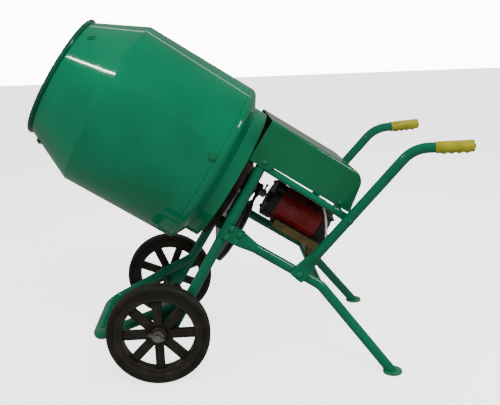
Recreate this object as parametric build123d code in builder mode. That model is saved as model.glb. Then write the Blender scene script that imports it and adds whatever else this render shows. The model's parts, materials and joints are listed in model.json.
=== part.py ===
from build123d import *
import math
import os

# Barrow concrete mixer: a drum on a spindle, turned by an electric motor through a
# V-belt and a pinion that runs inside a cast ring gear, on a two-wheeled tube frame.
# Millimetres. X runs from the drum's mouth to the handles, Y to the machine's right,
# Z up. The origin is on the ground, in the middle of the machine's length.

# ------------------------------------------------------------------ driving dimensions
axle_x = -280.0             # the axle, in front of the middle of the length
wheel_radius = 160.0
wheel_track = 558.0         # between the middle planes of the two wheels
wheel_width = 40.0
tyre_width = 44.0
tyre_thickness = 21.0
rim_depth = 27.0
wheel_hub_radius = 27.0
wheel_hub_length = 48.0
wheel_running_fit = 0.08
joint_gap = 0.4             # between pieces that turn against each other
tyre_shoulder = 7.0
spoke_count = 8
spoke_width = 28.0
spoke_thickness = 20.0
spoke_rib_width = 9.0
spoke_rib_height = 4.0
axle_radius = 10.0
axle_overhang = 19.0        # beyond the outer end of the wheel's hub
washer_radius = 19.0
washer_thickness = 3.0
spacer_radius = 13.0
split_pin_radius = 2.2
split_pin_length = 44.0
split_pin_turn = 24.0

drum_tilt = 33.1            # of the drum's axis, mouth upwards
mouth_ahead = 284.0         # of the axle
mouth_height = 942.5
mouth_radius = 206.0        # over the bead
bead_radius = 7.5
drum_radius = 280.0
cone_length = 173.0
barrel_end = 540.0          # all lengths along the drum are taken from the mouth
base_corner = 563.0
base_corner_radius = 22.0
collar_start = 590.0
collar_end = 632.0
collar_radius = 232.0
drum_wall = 2.0
lap = 20.0                  # of the barrel over the cone's and the base's lips
seam_groove = 3.0

blade_count = 3
blade_mouth_angle = 40.0    # of the first blade's bolts, from the top to the left
blade_base_angle = 78.0
blade_mouth_s = 50.0
blade_base_s = 530.0
blade_depth = 92.0
blade_gap = 24.0            # between the blade and the drum's wall
blade_thickness = 4.0
pad_size = 36.0
pad_thickness = 6.0
blade_bolt_radius = 5.0
blade_washer_radius = 13.0
washer_lift = 0.4           # flat washers on a round drum touch along its length only

gear_module = 5.0
ring_teeth = 76
pinion_teeth = 12
pressure_angle = 20.0
ring_addendum = 0.55        # in modules, cut short so that the pinion clears it
tooth_backlash = 0.5
ring_width = 23.0
ring_wall = 15.75           # from the roots of the teeth to the rim
ring_bolt_count = 8
ring_bolt_radius = 4.0
pinion_gap = 2.0            # between the drum's base and the pinion

running_fit = 0.05
bolt_clearance = 0.2

hub_flange_radius = 60.0
hub_flange_thickness = 8.0
hub_boss_radius = 30.0
spindle_radius = 17.5
drum_bearing_radius = 26.0
drum_bearing_width = 15.0
housing_wall = 5.0
housing_front = 657.0
housing_rear = 704.0
bearing_plate_s = 687.0
bearing_plate_thickness = 6.0
bearing_plate_top = 62.0
bearing_plate_bottom = -186.0
countershaft_radius = 10.0
countershaft_bearing_radius = 17.5
countershaft_bearing_width = 11.0
shaft_housing_front = 661.0
shaft_housing_rear = 714.0

belt_s = 737.0
belt_width = 11.0
belt_height = 8.0
belt_flank = 18.0           # half of the groove's angle
belt_clearance = 0.6
drive_pulley_radius = 118.0
motor_pulley_radius = 26.0
pulley_width = 24.0
groove_depth = 12.0
belt_sink = 1.0             # of the belt's back below the pulleys' rims
pulley_web = 7.0
pulley_rim = 9.0
pulley_hub_radius = 23.0
web_hole_count = 5
web_hole_radius = 19.0

motor_front = 784.0
motor_radius = 63.0
motor_bell_radius = 66.0
front_bell_length = 28.0
motor_body_length = 160.0
rear_bell_length = 30.0
fan_length = 17.0
motor_wall = 4.0
motor_shaft_radius = 7.0
motor_screw_count = 4
set_screw_height = 20.0
tray_start = 832.0
tray_end = 1004.0
tray_half_width = 74.0
tray_flange = 26.0
tray_thickness = 3.0
tray_drop = 67.0            # of the tray's floor below the motor's axis
foot_block_width = 20.0
foot_block_height = 28.0
foot_block_reach = 41.0
foot_bolt_y = 33.0
foot_bolt_radius = 4.0
foot_bolt_depth = 12.0
foot_setback = 36.0         # of the feet from the ends of the motor's body
end_plate_height = 50.0     # of the tray's upturned end, which holds the switch box

upright_radius = 17.0
tube_wall = 2.0
upright_top_s = 681.0
upright_top_n = 120.0
upright_top_y = 173.0
upright_low_s = 701.0
upright_low_n = -500.0
upright_low_y = 235.0
gusset_thickness = 6.0
gusset_length = 62.0
hoop_radius = 17.0
hoop_front_x = -215.0       # from the axle
hoop_front_z = 104.0
hoop_half_width = 155.0
hoop_bend_radius = 55.0
hoop_joint_n = -384.0       # where the hoop's arms meet the uprights
axle_plate_thickness = 6.0

leg_radius = 16.0
leg_line_n = -127.0
leg_y = 228.0
leg_plate_front = 680.0
leg_plate_length = 66.0
leg_plate_width = 50.0
leg_plate_thickness = 8.0
leg_taper = 45.0
leg_bend_s = 1032.0
leg_bend_radius = 75.0
foot_x = 725.0              # from the axle
foot_y = 305.0
foot_radius = 30.0
foot_thickness = 8.0

handle_radius = 16.0
handle_y = 249.0
handle_low_x = 458.0        # from the axle
handle_low_z = 336.0
handle_bend_x = 793.0
handle_bend_z = 698.0
handle_end_x = 959.0
handle_end_y = 287.0
handle_end_z = 705.0
handle_bend_radius = 105.0
handle_plate_below = 41.0   # the flattened end, on both sides of the low point
handle_plate_above = 4.0
handle_plate_width = 50.0
handle_plate_thickness = 8.0
handle_taper = 52.0
grip_length = 112.0
grip_radius = 18.0
grip_cap = 5.0
grip_nub_radius = 6.0
grip_nub_height = 4.0
finger_count = 4
finger_pitch = 22.0
finger_radius = 13.0
finger_bulge = 3.5

rail_radius = 11.0
rail_n = 98.5
cross_tube_radius = 12.5
bracket_width = 26.0
bracket_thickness = 6.0
bracket_y = 42.0

hood_front = 636.0
hood_top_n = 236.0
hood_half_width = 195.0
hood_rear_top = 974.0
hood_rear_low = 997.0
hood_low_front = 96.0       # lower edge, over the uprights
hood_low_rear = 112.0
hood_step_start = 701.0
hood_step_end = 717.0
hood_sheet = 2.0
hood_upright_gap = 0.5
hood_fold_radius = 12.0
hood_rear_radius = 45.0
hood_bolt_radius = 4.0
hood_bolt_front = (681.0, 113.0)
hood_bolt_rear = (950.0, 124.0)

frame_bolt_radius = 5.0

lead_radius = 3.5
gland_radius = 8.5
gland_length = 14.0
terminal_start = 926.0
terminal_length = 46.0
terminal_half_width = 31.0
terminal_top = 84.0
gland_n = 72.0
lead_fit = 0.6
lead_seat = 6.0             # of the lead in its glands
box_length = 42.0
box_half_width = 34.0
box_top = -16.0
box_low = -66.0
button_radius = 9.0
button_length = 10.0
button_proud = 6.0
button_fit = 0.4
button_y = 15.0

# -------------------------------------------------------------------------- directions
tilt = math.radians(drum_tilt)
along = Vector(math.cos(tilt), 0, -math.sin(tilt))   # drum's axis, mouth to base
rise = Vector(math.sin(tilt), 0, math.cos(tilt))     # square to it, upwards
sideways = Vector(0, 1, 0)
mouth = Vector(axle_x - mouth_ahead, 0, mouth_height)
drum_axis = Axis(mouth, along)
sides = {"left": -1, "right": 1}


def drum_point(s, n, y=0.0):
    """A point s along the drum's axis, n above it and y to the right."""
    return mouth + along * s + rise * n + sideways * y


def axle_point(x, y, z):
    """A point x behind the axle, y to the right and z above the ground."""
    return Vector(axle_x + x, y, z)


def across(s, n=0.0, y=0.0):
    """Plane square to the drum's axis: its x is to the right, its y is upwards."""
    return Plane(origin=drum_point(s, n, y), x_dir=sideways, z_dir=along)


def lengthwise(y=0.0):
    """Plane along the drum's axis: its x is s, its y is n, and it faces the left."""
    return Plane(origin=drum_point(0, 0, y), x_dir=along, z_dir=-sideways)


def upright_at(n, side):
    """The upright's centre line at the height n."""
    share = (upright_top_n - n) / (upright_top_n - upright_low_n)
    s = upright_top_s + share * (upright_low_s - upright_top_s)
    y = upright_top_y + share * (upright_low_y - upright_top_y)
    return drum_point(s, n, side * y)


def upright_reach(n):
    """Distance from the middle of the machine to the upright's centre at n."""
    return upright_at(n, 1).Y


def save(part, name):
    part.label = name
    export_step(part, f"parts/{name}.step")


os.makedirs("parts", exist_ok=True)

# ------------------------------------------------------------------------ small helpers


def offset_line(points, distance):
    """The points moved to the right of their line of travel, with mitred corners."""
    normals = []
    for (x0, y0), (x1, y1) in zip(points, points[1:]):
        length = math.hypot(x1 - x0, y1 - y0)
        normals.append(((y1 - y0) / length, (x0 - x1) / length))
    moved = []
    for index, (x, y) in enumerate(points):
        before = normals[max(index - 1, 0)]
        after = normals[min(index, len(normals) - 1)]
        scale = distance / (1 + before[0] * after[0] + before[1] * after[1])
        moved.append((x + scale * (before[0] + after[0]), y + scale * (before[1] + after[1])))
    return moved


def ring(s_start, s_end, inner, outer):
    """A ring about the drum's axis."""
    with BuildPart() as made:
        with BuildSketch(across(s_start)):
            Circle(outer)
            Circle(inner, mode=Mode.SUBTRACT)
        extrude(amount=s_end - s_start)
    return made.part


def rod(start, end, radius, bore=0.0):
    """A round bar or tube between two points."""
    way = end - start
    with BuildPart() as made:
        with BuildSketch(Plane(origin=start, z_dir=way)):
            Circle(radius)
            if bore > 0:
                Circle(bore, mode=Mode.SUBTRACT)
        extrude(amount=way.length)
    return made.part


def bolt(place, way, grip, radius, washer=0.0, domed=False, nut=True):
    """A bolt with its head at the place and its nut beyond the grip, as one solid."""
    head = 1.3 * radius
    with BuildPart() as made:
        with BuildSketch(Plane(origin=place, z_dir=way)):
            Circle(radius)
        extrude(amount=grip + 2.6 * radius if nut else grip)
        with BuildSketch(Plane(origin=place, z_dir=-way)):
            if domed:
                Circle(1.9 * radius)
            else:
                RegularPolygon(1.75 * radius, 6)
        extrude(amount=head)
        if domed:
            top = made.faces().sort_by(Axis(place, way))[0]
            fillet(top.edges(), 0.8 * head)
        if washer > 0:
            with BuildSketch(Plane(origin=place, z_dir=-way)):
                Circle(washer)
            extrude(amount=0.35 * radius)
        if nut:
            with BuildSketch(Plane(origin=place + way * grip, z_dir=way)):
                RegularPolygon(1.75 * radius, 6)
            extrude(amount=1.6 * radius)
    return made.part


# ------------------------------------------------------------------------------- drum
cone_start = 8.0
cone_edge_radius = mouth_radius - bead_radius - 2.5
cone_points = [
    (cone_start, cone_edge_radius),
    (cone_length, drum_radius),
]
lip_radius = drum_radius - drum_wall

with BuildPart() as mouth_rim:
    with BuildSketch(lengthwise()):
        with Locations((bead_radius, mouth_radius - bead_radius)):
            Circle(bead_radius)
    revolve(axis=drum_axis)
save(mouth_rim.part, "mouth_rim")

cone_inner = offset_line(cone_points, drum_wall)
cone_slope = (cone_inner[1][1] - cone_inner[0][1]) / (cone_inner[1][0] - cone_inner[0][0])
lip_inner = lip_radius - drum_wall
cone_lip_s = cone_inner[0][0] + (lip_inner - cone_inner[0][1]) / cone_slope


def cone_surface(s):
    """Radius of the outside of the cone at s."""
    share = (s - cone_start) / (cone_length - cone_start)
    return cone_edge_radius + share * (drum_radius - cone_edge_radius)


cone_lean = math.atan2(drum_radius - cone_edge_radius, cone_length - cone_start)


def drum_place(s, angle, radius):
    """A point and the outward direction at an angle from the drum's top to its left."""
    turn = math.radians(angle)
    outward = rise * math.cos(turn) - sideways * math.sin(turn)
    return mouth + along * s + outward * radius, outward


def blade_bolt_places():
    """Where the blades' bolts stand on the drum: point and outward direction."""
    places = []
    for index in range(blade_count):
        turn = 360.0 * index / blade_count
        point, outward = drum_place(
            blade_mouth_s, blade_mouth_angle + turn, cone_surface(blade_mouth_s))
        square = outward * math.cos(cone_lean) - along * math.sin(cone_lean)
        places.append((point, square))
        places.append(drum_place(blade_base_s, blade_base_angle + turn, drum_radius))
    return places


blade_holes = [
    rod(point - outward * 30, point + outward * 10, blade_bolt_radius + bolt_clearance)
    for point, outward in blade_bolt_places()
]

with BuildPart() as drum_cone:
    with BuildSketch(lengthwise()):
        Polygon(
            cone_points[0], cone_points[1],
            (cone_length, lip_radius), (cone_length + lap, lip_radius),
            (cone_length + lap, lip_inner), (cone_lip_s, lip_inner), cone_inner[0],
            align=None)
    revolve(axis=drum_axis)
    add(mouth_rim.part, mode=Mode.SUBTRACT)
    add(blade_holes, mode=Mode.SUBTRACT)
save(drum_cone.part, "drum_cone")

with BuildPart() as drum_barrel:
    add(ring(cone_length, barrel_end, lip_radius, drum_radius))
    add(blade_holes, mode=Mode.SUBTRACT)
save(drum_barrel.part, "drum_barrel")

base_points = [
    (barrel_end - lap, lip_radius),
    (barrel_end, lip_radius),
    (barrel_end + seam_groove, drum_radius),
    (base_corner, drum_radius),
    (collar_start, collar_radius),
    (collar_end, collar_radius),
    (collar_end, spindle_radius + 2.5),
]
base_inner = offset_line(base_points, drum_wall)

gear_pitch_radius = gear_module * ring_teeth / 2
ring_root_radius = gear_pitch_radius + 1.25 * gear_module
ring_radius = ring_root_radius + ring_wall
ring_bolt_circle = ring_root_radius + ring_wall / 2
ring_front = collar_end
ring_rear = ring_front + ring_width
ring_bolt_angles = [360.0 * index / ring_bolt_count for index in range(ring_bolt_count)]
ring_bolt_holes = []
for angle in ring_bolt_angles:
    point, outward = drum_place(collar_end - 4, angle, ring_bolt_circle)
    hole = rod(point, point + along * (ring_width + 8), ring_bolt_radius + bolt_clearance)
    ring_bolt_holes.append(hole)

with BuildPart() as drum_base:
    with BuildSketch(lengthwise()) as base_wall:
        Polygon(*base_points, *reversed(base_inner), align=None)
        outside = base_wall.vertices().sort_by_distance((base_corner, drum_radius))[0]
        fillet(outside, base_corner_radius)
        inside = base_wall.vertices().sort_by_distance(base_inner[3])[0]
        fillet(inside, base_corner_radius - drum_wall)
    revolve(axis=drum_axis)
    add(blade_holes, mode=Mode.SUBTRACT)
    add(ring_bolt_holes, mode=Mode.SUBTRACT)
save(drum_base.part, "drum_base")

with BuildPart() as drum_hub:
    nose = collar_end - 12
    flange_rear = collar_end + hub_flange_thickness
    boss_rear = housing_front - 3
    spindle_end = housing_rear + 10
    with BuildSketch(lengthwise()):
        Polygon(
            (nose, 0), (nose, spindle_radius + 2.5), (collar_end, spindle_radius + 2.5),
            (collar_end, hub_flange_radius), (flange_rear, hub_flange_radius),
            (flange_rear, hub_boss_radius), (boss_rear, hub_boss_radius - 4),
            (boss_rear, spindle_radius), (spindle_end, spindle_radius), (spindle_end, 0),
            align=None)
    revolve(axis=drum_axis)
save(drum_hub.part, "drum_hub")

with BuildPart() as spindle_nut:
    with BuildSketch(across(housing_rear + 0.6)):
        RegularPolygon(spindle_radius * 1.5, 6)
        Circle(spindle_radius, mode=Mode.SUBTRACT)
    extrude(amount=spindle_end - housing_rear - 2)
save(spindle_nut.part, "spindle_nut")

# ----------------------------------------------------------------------------- blades
with BuildPart() as drum_cavity:
    cavity_line = [cone_inner[0], (cone_lip_s, lip_inner), (barrel_end, lip_inner)]
    cavity_line += [base_inner[3], base_inner[4], base_inner[5]]
    with BuildSketch(lengthwise()):
        Polygon((cone_inner[0][0], 0), *cavity_line, (base_inner[5][0], 0), align=None)
    revolve(axis=drum_axis)

with BuildPart() as blade_space:
    shrunk = offset_line(cavity_line, blade_gap)
    with BuildSketch(lengthwise()):
        Polygon((shrunk[0][0], 0), *shrunk, (shrunk[-1][0], 0), align=None)
    revolve(axis=drum_axis)

blade_start = drum_place(blade_mouth_s, blade_mouth_angle, cone_surface(blade_mouth_s))[0]
blade_finish = drum_place(blade_base_s, blade_base_angle, drum_radius)[0]
blade_middle = drum_place(0, (blade_mouth_angle + blade_base_angle) / 2, 1)[1]
blade_way = (blade_finish - blade_start).normalized()
blade_length = (blade_finish - blade_start).length
blade_face = blade_way.cross(blade_middle).normalized()
blade_plane = Plane(origin=blade_start, x_dir=blade_way, z_dir=blade_face)

with BuildPart() as blade:
    with BuildSketch(blade_plane):
        deep = -blade_depth
        tip = pad_size / 2
        Polygon(
            (-tip, 140), (blade_length + tip, 140), (blade_length + tip, -50),
            (blade_length - 60, deep), (120, deep), (-tip, -40), align=None)
    extrude(amount=blade_thickness / 2, both=True)
    add(blade_space.part, mode=Mode.INTERSECT)
    for point, outward in blade_bolt_places()[:2]:
        with BuildSketch(Plane(origin=point + outward * 10, x_dir=blade_way, z_dir=-outward)):
            Rectangle(pad_size, pad_size)
        extrude(amount=10 + drum_wall * 2 + pad_thickness)
        with BuildSketch(Plane(origin=point, x_dir=blade_way, z_dir=-outward)):
            with Locations((pad_size / 2 - 3, 0)):
                Rectangle(6, pad_size)
        extrude(amount=blade_gap + 34)
    add(drum_cavity.part, mode=Mode.INTERSECT)
    add(blade_holes[:2], mode=Mode.SUBTRACT)

with BuildPart() as mixing_blades:
    for index in range(blade_count):
        add(blade.part.rotate(drum_axis, -360.0 * index / blade_count))
    add(drum_base.part, mode=Mode.SUBTRACT)
save(mixing_blades.part, "mixing_blades")

with BuildPart() as blade_bolts:
    for point, outward in blade_bolt_places():
        place = point + outward * washer_lift
        grip = 2 * drum_wall + pad_thickness + washer_lift
        add(bolt(place, -outward, grip, blade_bolt_radius, blade_washer_radius))
save(blade_bolts.part, "blade_bolts")

# --------------------------------------------------------------------- gears and shafts
gear_centre_n = -gear_module * (ring_teeth - pinion_teeth) / 2
ring_tip_radius = gear_pitch_radius - ring_addendum * gear_module


def involute_teeth(teeth, root, tip, thinning, steps):
    """Outline of a toothed wheel, one tooth centred on the first direction."""
    pitch = gear_module * teeth / 2
    base = pitch * math.cos(math.radians(pressure_angle))
    low = max(root, base)
    pitch_roll = math.tan(math.radians(pressure_angle)) - math.radians(pressure_angle)
    half = math.pi / (2 * teeth) - thinning / (2 * pitch)
    flank = []
    for step in range(steps + 1):
        radius = low + (tip - low) * step / steps
        roll = math.sqrt(max((radius / base) ** 2 - 1, 0))
        flank.append((radius, half + pitch_roll - (roll - math.atan(roll))))
    if root < base:
        flank.insert(0, (root, flank[0][1]))
    outline = []
    for tooth in range(teeth):
        middle = 2 * math.pi * tooth / teeth
        outline += [(radius, middle - angle) for radius, angle in flank]
        outline += [(radius, middle + angle) for radius, angle in reversed(flank)]
    return [(radius * math.cos(angle), radius * math.sin(angle)) for radius, angle in outline]


with BuildPart() as ring_gear:
    spaces = involute_teeth(ring_teeth, ring_tip_radius, ring_root_radius, -tooth_backlash / 2, 2)
    down = Plane(origin=drum_point(ring_front, 0), x_dir=-rise, z_dir=along)
    with BuildSketch(down):
        Circle(ring_radius)
        Polygon(*spaces, align=None, mode=Mode.SUBTRACT)
    extrude(amount=ring_width)
    add(ring_bolt_holes, mode=Mode.SUBTRACT)
save(ring_gear.part, "ring_gear")

with BuildPart() as ring_gear_bolts:
    for angle in ring_bolt_angles:
        point, outward = drum_place(ring_rear, angle, ring_bolt_circle)
        grip = ring_width + drum_wall
        add(bolt(point, -along, grip, ring_bolt_radius))
save(ring_gear_bolts.part, "ring_gear_bolts")

pinion_front = collar_end + pinion_gap
pinion_radius = gear_module * pinion_teeth / 2
pinion_root = pinion_radius - 1.25 * gear_module
countershaft_rear = belt_s + pulley_width / 2 + 6

with BuildPart() as pinion:
    teeth = involute_teeth(
        pinion_teeth, pinion_root, pinion_radius + gear_module, tooth_backlash / 2, 5)
    down = Plane(origin=drum_point(pinion_front, gear_centre_n), x_dir=-rise, z_dir=along)
    with BuildSketch(down):
        Polygon(*teeth, align=None)
        Circle(countershaft_radius, mode=Mode.SUBTRACT)
    extrude(amount=ring_rear - pinion_front)
save(pinion.part, "pinion")

countershaft_start = drum_point(pinion_front, gear_centre_n)
countershaft_end = drum_point(countershaft_rear, gear_centre_n)
countershaft = rod(countershaft_start, countershaft_end, countershaft_radius)
save(countershaft, "countershaft")

with BuildPart() as bearing_plate:
    with BuildSketch(across(bearing_plate_s)):
        top = upright_reach(bearing_plate_top)
        low = upright_reach(bearing_plate_bottom)
        Polygon(
            (-top, bearing_plate_top), (top, bearing_plate_top),
            (low, bearing_plate_bottom), (-low, bearing_plate_bottom), align=None)
    extrude(amount=bearing_plate_thickness / 2, both=True)
    with BuildSketch(across(housing_front)):
        Circle(drum_bearing_radius + housing_wall)
    extrude(amount=housing_rear - housing_front)
    with BuildSketch(across(shaft_housing_front, gear_centre_n)):
        Circle(countershaft_bearing_radius + housing_wall)
    extrude(amount=shaft_housing_rear - shaft_housing_front)
    with BuildSketch(across(housing_front)):
        Circle(drum_bearing_radius)
    extrude(amount=housing_rear - housing_front, mode=Mode.SUBTRACT)
    with BuildSketch(across(shaft_housing_front, gear_centre_n)):
        Circle(countershaft_bearing_radius)
    extrude(amount=shaft_housing_rear - shaft_housing_front, mode=Mode.SUBTRACT)
    for side in sides.values():
        add(
            rod(upright_at(upright_low_n, side), upright_at(upright_top_n, side), upright_radius),
            mode=Mode.SUBTRACT)
save(bearing_plate.part, "bearing_plate")

with BuildPart() as drum_bearings:
    for start in (housing_front + 2, housing_rear - 2 - drum_bearing_width):
        add(ring(
            start, start + drum_bearing_width,
            spindle_radius + running_fit, drum_bearing_radius))
save(drum_bearings.part, "drum_bearings")

with BuildPart() as countershaft_bearings:
    rear_start = shaft_housing_rear - 1 - countershaft_bearing_width
    for start in (shaft_housing_front + 1, rear_start):
        add(rod(
            drum_point(start, gear_centre_n),
            drum_point(start + countershaft_bearing_width, gear_centre_n),
            countershaft_bearing_radius, countershaft_radius + running_fit))
save(countershaft_bearings.part, "countershaft_bearings")

# ------------------------------------------------------------------------ belt and pulleys
flank_slope = math.tan(math.radians(belt_flank))


def sheave(radius, bore, hub_radius, hub_start, hub_end, centre_n, web):
    """A V-grooved pulley, turned about the shaft at centre_n."""
    half = pulley_width / 2
    back = belt_width / 2 + belt_sink * flank_slope + belt_clearance
    bottom = back - groove_depth * flank_slope
    inner = radius - groove_depth - pulley_rim
    axis = Axis(drum_point(0, centre_n), along)
    plane = Plane(origin=drum_point(belt_s, centre_n), x_dir=along, z_dir=-sideways)
    with BuildPart() as made:
        with BuildSketch(plane):
            Polygon(
                (-half, inner), (-half, radius), (-back, radius),
                (-bottom, radius - groove_depth), (bottom, radius - groove_depth),
                (back, radius), (half, radius), (half, inner), align=None)
        revolve(axis=axis)
        with BuildSketch(plane):
            with Locations(((hub_start + hub_end) / 2 - belt_s, hub_radius / 2)):
                Rectangle(hub_end - hub_start, hub_radius)
            if web:
                with Locations((0, (inner + 1) / 2)):
                    Rectangle(pulley_web, inner + 1)
        revolve(axis=axis)
        with BuildSketch(across(hub_start, centre_n)):
            Circle(bore)
        extrude(amount=hub_end - hub_start, mode=Mode.SUBTRACT)
        if web:
            hole_circle = (hub_radius + inner) / 2
            with BuildSketch(across(belt_s - pulley_web, centre_n)):
                with PolarLocations(hole_circle, web_hole_count, start_angle=90):
                    Circle(web_hole_radius)
            extrude(amount=2 * pulley_web, mode=Mode.SUBTRACT)
    return made.part


drive_pulley = sheave(
    drive_pulley_radius, countershaft_radius, pulley_hub_radius,
    shaft_housing_rear + 2, countershaft_rear - 1, gear_centre_n, True)
save(drive_pulley, "drive_pulley")

motor_hub_end = belt_s + pulley_width / 2 + 20
motor_hub_radius = 14.0
screw_s = motor_hub_end - 9
with BuildPart() as motor_pulley:
    with BuildSketch(across(belt_s)):
        Circle(motor_pulley_radius - groove_depth + 0.5)
    extrude(amount=pulley_width / 2, both=True)
    add(sheave(
        motor_pulley_radius, motor_shaft_radius, motor_hub_radius,
        belt_s - pulley_width / 2, motor_hub_end, 0.0, False))
    with BuildSketch(across(belt_s)):
        Circle(motor_shaft_radius)
    extrude(amount=pulley_width, both=True, mode=Mode.SUBTRACT)
    with BuildSketch(Plane(origin=drum_point(screw_s, motor_shaft_radius), z_dir=rise)):
        Circle(3)
    extrude(amount=motor_hub_radius, mode=Mode.SUBTRACT)
save(motor_pulley.part, "motor_pulley")

with BuildPart() as set_screw:
    head_n = motor_hub_radius + set_screw_height - 8
    with BuildSketch(Plane(origin=drum_point(screw_s, motor_shaft_radius), z_dir=rise)):
        Circle(3)
    extrude(amount=head_n - motor_shaft_radius)
    with BuildSketch(Plane(origin=drum_point(screw_s, head_n), x_dir=along, z_dir=rise)):
        Rectangle(9, 9)
    extrude(amount=8)
    chamfer(set_screw.faces().sort_by(Axis(mouth, rise))[-1].edges(), 1.2)
save(set_screw.part, "pulley_set_screw")

big_line = drive_pulley_radius - belt_sink - belt_height / 2
small_line = motor_pulley_radius - belt_sink - belt_height / 2
with BuildPart() as v_belt:
    lean = math.asin((big_line - small_line) / -gear_centre_n)
    out_y, out_n = math.cos(lean), math.sin(lean)
    big_right = (big_line * out_y, gear_centre_n + big_line * out_n)
    big_left = (-big_right[0], big_right[1])
    small_right = (small_line * out_y, small_line * out_n)
    small_left = (-small_right[0], small_right[1])
    with BuildLine(across(belt_s)) as loop:
        Line(big_right, small_right)
        ThreePointArc(small_right, (0, small_line), small_left)
        Line(small_left, big_left)
        ThreePointArc(big_left, (0, gear_centre_n - big_line), big_right)
    outward = rise * out_n + sideways * out_y
    section_place = drum_point(belt_s, big_right[1], big_right[0])
    with BuildSketch(Plane(origin=section_place, x_dir=along, z_dir=along.cross(outward))):
        half = belt_width / 2
        under = half - belt_height * flank_slope
        high = belt_height / 2
        Polygon((-under, -high), (under, -high), (half, high), (-half, high), align=None)
    sweep(path=loop.wire())
save(v_belt.part, "v_belt")

# ------------------------------------------------------------------------------ motor
body_front = motor_front + front_bell_length
body_rear = body_front + motor_body_length
motor_rear = body_rear + rear_bell_length
lug_angles = [45.0 + 360.0 * index / motor_screw_count for index in range(motor_screw_count)]

foot_places = (body_front + foot_setback, body_rear - foot_setback)
with BuildPart() as motor_body:
    for s in foot_places:
        with BuildSketch(across(s - foot_block_width / 2)):
            with Locations((0, foot_block_height / 2 - tray_drop)):
                Rectangle(2 * foot_block_reach, foot_block_height)
        extrude(amount=foot_block_width)
    with BuildSketch(across(body_front)):
        Circle(motor_radius)
    extrude(amount=motor_body_length)
    with BuildSketch(across(body_front)):
        Circle(motor_radius - motor_wall)
    extrude(amount=motor_body_length, mode=Mode.SUBTRACT)
    for s in foot_places:
        for y in (-foot_bolt_y, foot_bolt_y):
            with BuildSketch(Plane(origin=drum_point(s, -tray_drop, y), z_dir=rise)):
                Circle(foot_bolt_radius + bolt_clearance)
            extrude(amount=foot_bolt_depth, mode=Mode.SUBTRACT)
save(motor_body.part, "motor_body")

bell_lug = 9.0
tie_radius = 3.0
tie_circle = motor_radius + tie_radius + 1.5


def bell(start, end, face_inward):
    """An end bell with four lugs for the tie screws, open towards the body."""
    with BuildPart() as made:
        with BuildSketch(across(start)):
            Circle(motor_bell_radius)
            for angle in lug_angles:
                turn = math.radians(angle)
                with Locations((-tie_circle * math.sin(turn), tie_circle * math.cos(turn))):
                    Circle(bell_lug)
        extrude(amount=end - start)
        with BuildSketch(across(start if face_inward else end)):
            Circle(motor_bell_radius - 8)
        depth = (end - start) - 8
        extrude(amount=depth if face_inward else -depth, mode=Mode.SUBTRACT)
        for angle in lug_angles:
            turn = math.radians(angle)
            y, n = -tie_circle * math.sin(turn), tie_circle * math.cos(turn)
            with BuildSketch(across(start, n, y)):
                Circle(tie_radius + bolt_clearance)
            extrude(amount=end - start, mode=Mode.SUBTRACT)
        with BuildSketch(across(start)):
            Circle(motor_shaft_radius + 1)
        extrude(amount=end - start, mode=Mode.SUBTRACT)
    return made.part


with BuildPart() as motor_front_bell:
    add(bell(motor_front, body_front, False))
    outer_edges = motor_front_bell.faces().sort_by(Axis(mouth, along))[0].outer_wire().edges()
    chamfer(outer_edges, 2)
    with BuildSketch(across(motor_front - 6)):
        Circle(20)
        Circle(motor_shaft_radius + 1, mode=Mode.SUBTRACT)
    extrude(amount=6)
save(motor_front_bell.part, "motor_front_bell")

with BuildPart() as motor_rear_bell:
    add(bell(body_rear, motor_rear, True))
    slot_circle = motor_bell_radius - 22
    with BuildSketch(across(motor_rear - 8)):
        with PolarLocations(slot_circle, 10):
            SlotOverall(22, 5)
    extrude(amount=8, mode=Mode.SUBTRACT)
save(motor_rear_bell.part, "motor_rear_bell")

with BuildPart() as motor_screws:
    for angle in lug_angles:
        turn = math.radians(angle)
        y, n = -tie_circle * math.sin(turn), tie_circle * math.cos(turn)
        span = motor_rear - motor_front
        add(bolt(drum_point(motor_front, n, y), along, span, tie_radius))
save(motor_screws.part, "motor_screws")

with BuildPart() as motor_shaft:
    add(rod(drum_point(belt_s - pulley_width / 2, 0), drum_point(motor_rear - 12, 0),
            motor_shaft_radius))
    with BuildSketch(across(body_front + 18)):
        Circle(motor_radius - motor_wall - 12)
    extrude(amount=motor_body_length - 50)
save(motor_shaft.part, "motor_shaft")

with BuildPart() as motor_fan:
    fan_start = body_rear + 2
    with BuildSketch(across(fan_start)):
        Circle(18)
    extrude(amount=fan_length)
    with BuildSketch(across(fan_start)):
        Circle(46)
    extrude(amount=3)
    for index in range(6):
        with BuildSketch(across(fan_start)):
            with PolarLocations(31, 1, start_angle=60.0 * index):
                Rectangle(30, 3)
        extrude(amount=fan_length)
    with BuildSketch(across(fan_start)):
        Circle(motor_shaft_radius)
    extrude(amount=fan_length, mode=Mode.SUBTRACT)
save(motor_fan.part, "motor_fan")

with BuildPart() as motor_tray:
    with BuildSketch(across(tray_start)):
        floor = -tray_drop - tray_thickness
        wide = tray_half_width
        Polygon(
            (-wide, floor), (wide, floor), (wide, floor + tray_flange),
            (wide - tray_thickness, floor + tray_flange), (wide - tray_thickness, -tray_drop),
            (tray_thickness - wide, -tray_drop), (tray_thickness - wide, floor + tray_flange),
            (-wide, floor + tray_flange), align=None)
    extrude(amount=tray_end - tray_start)
    with BuildSketch(across(tray_end)):
        with Locations((0, floor + end_plate_height / 2)):
            Rectangle(2 * box_half_width, end_plate_height)
    extrude(amount=tray_thickness)
    for s in foot_places:
        for y in (-foot_bolt_y, foot_bolt_y):
            with BuildSketch(Plane(origin=drum_point(s, floor, y), z_dir=rise)):
                Circle(foot_bolt_radius + bolt_clearance)
            extrude(amount=tray_thickness, mode=Mode.SUBTRACT)
save(motor_tray.part, "motor_tray")

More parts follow.
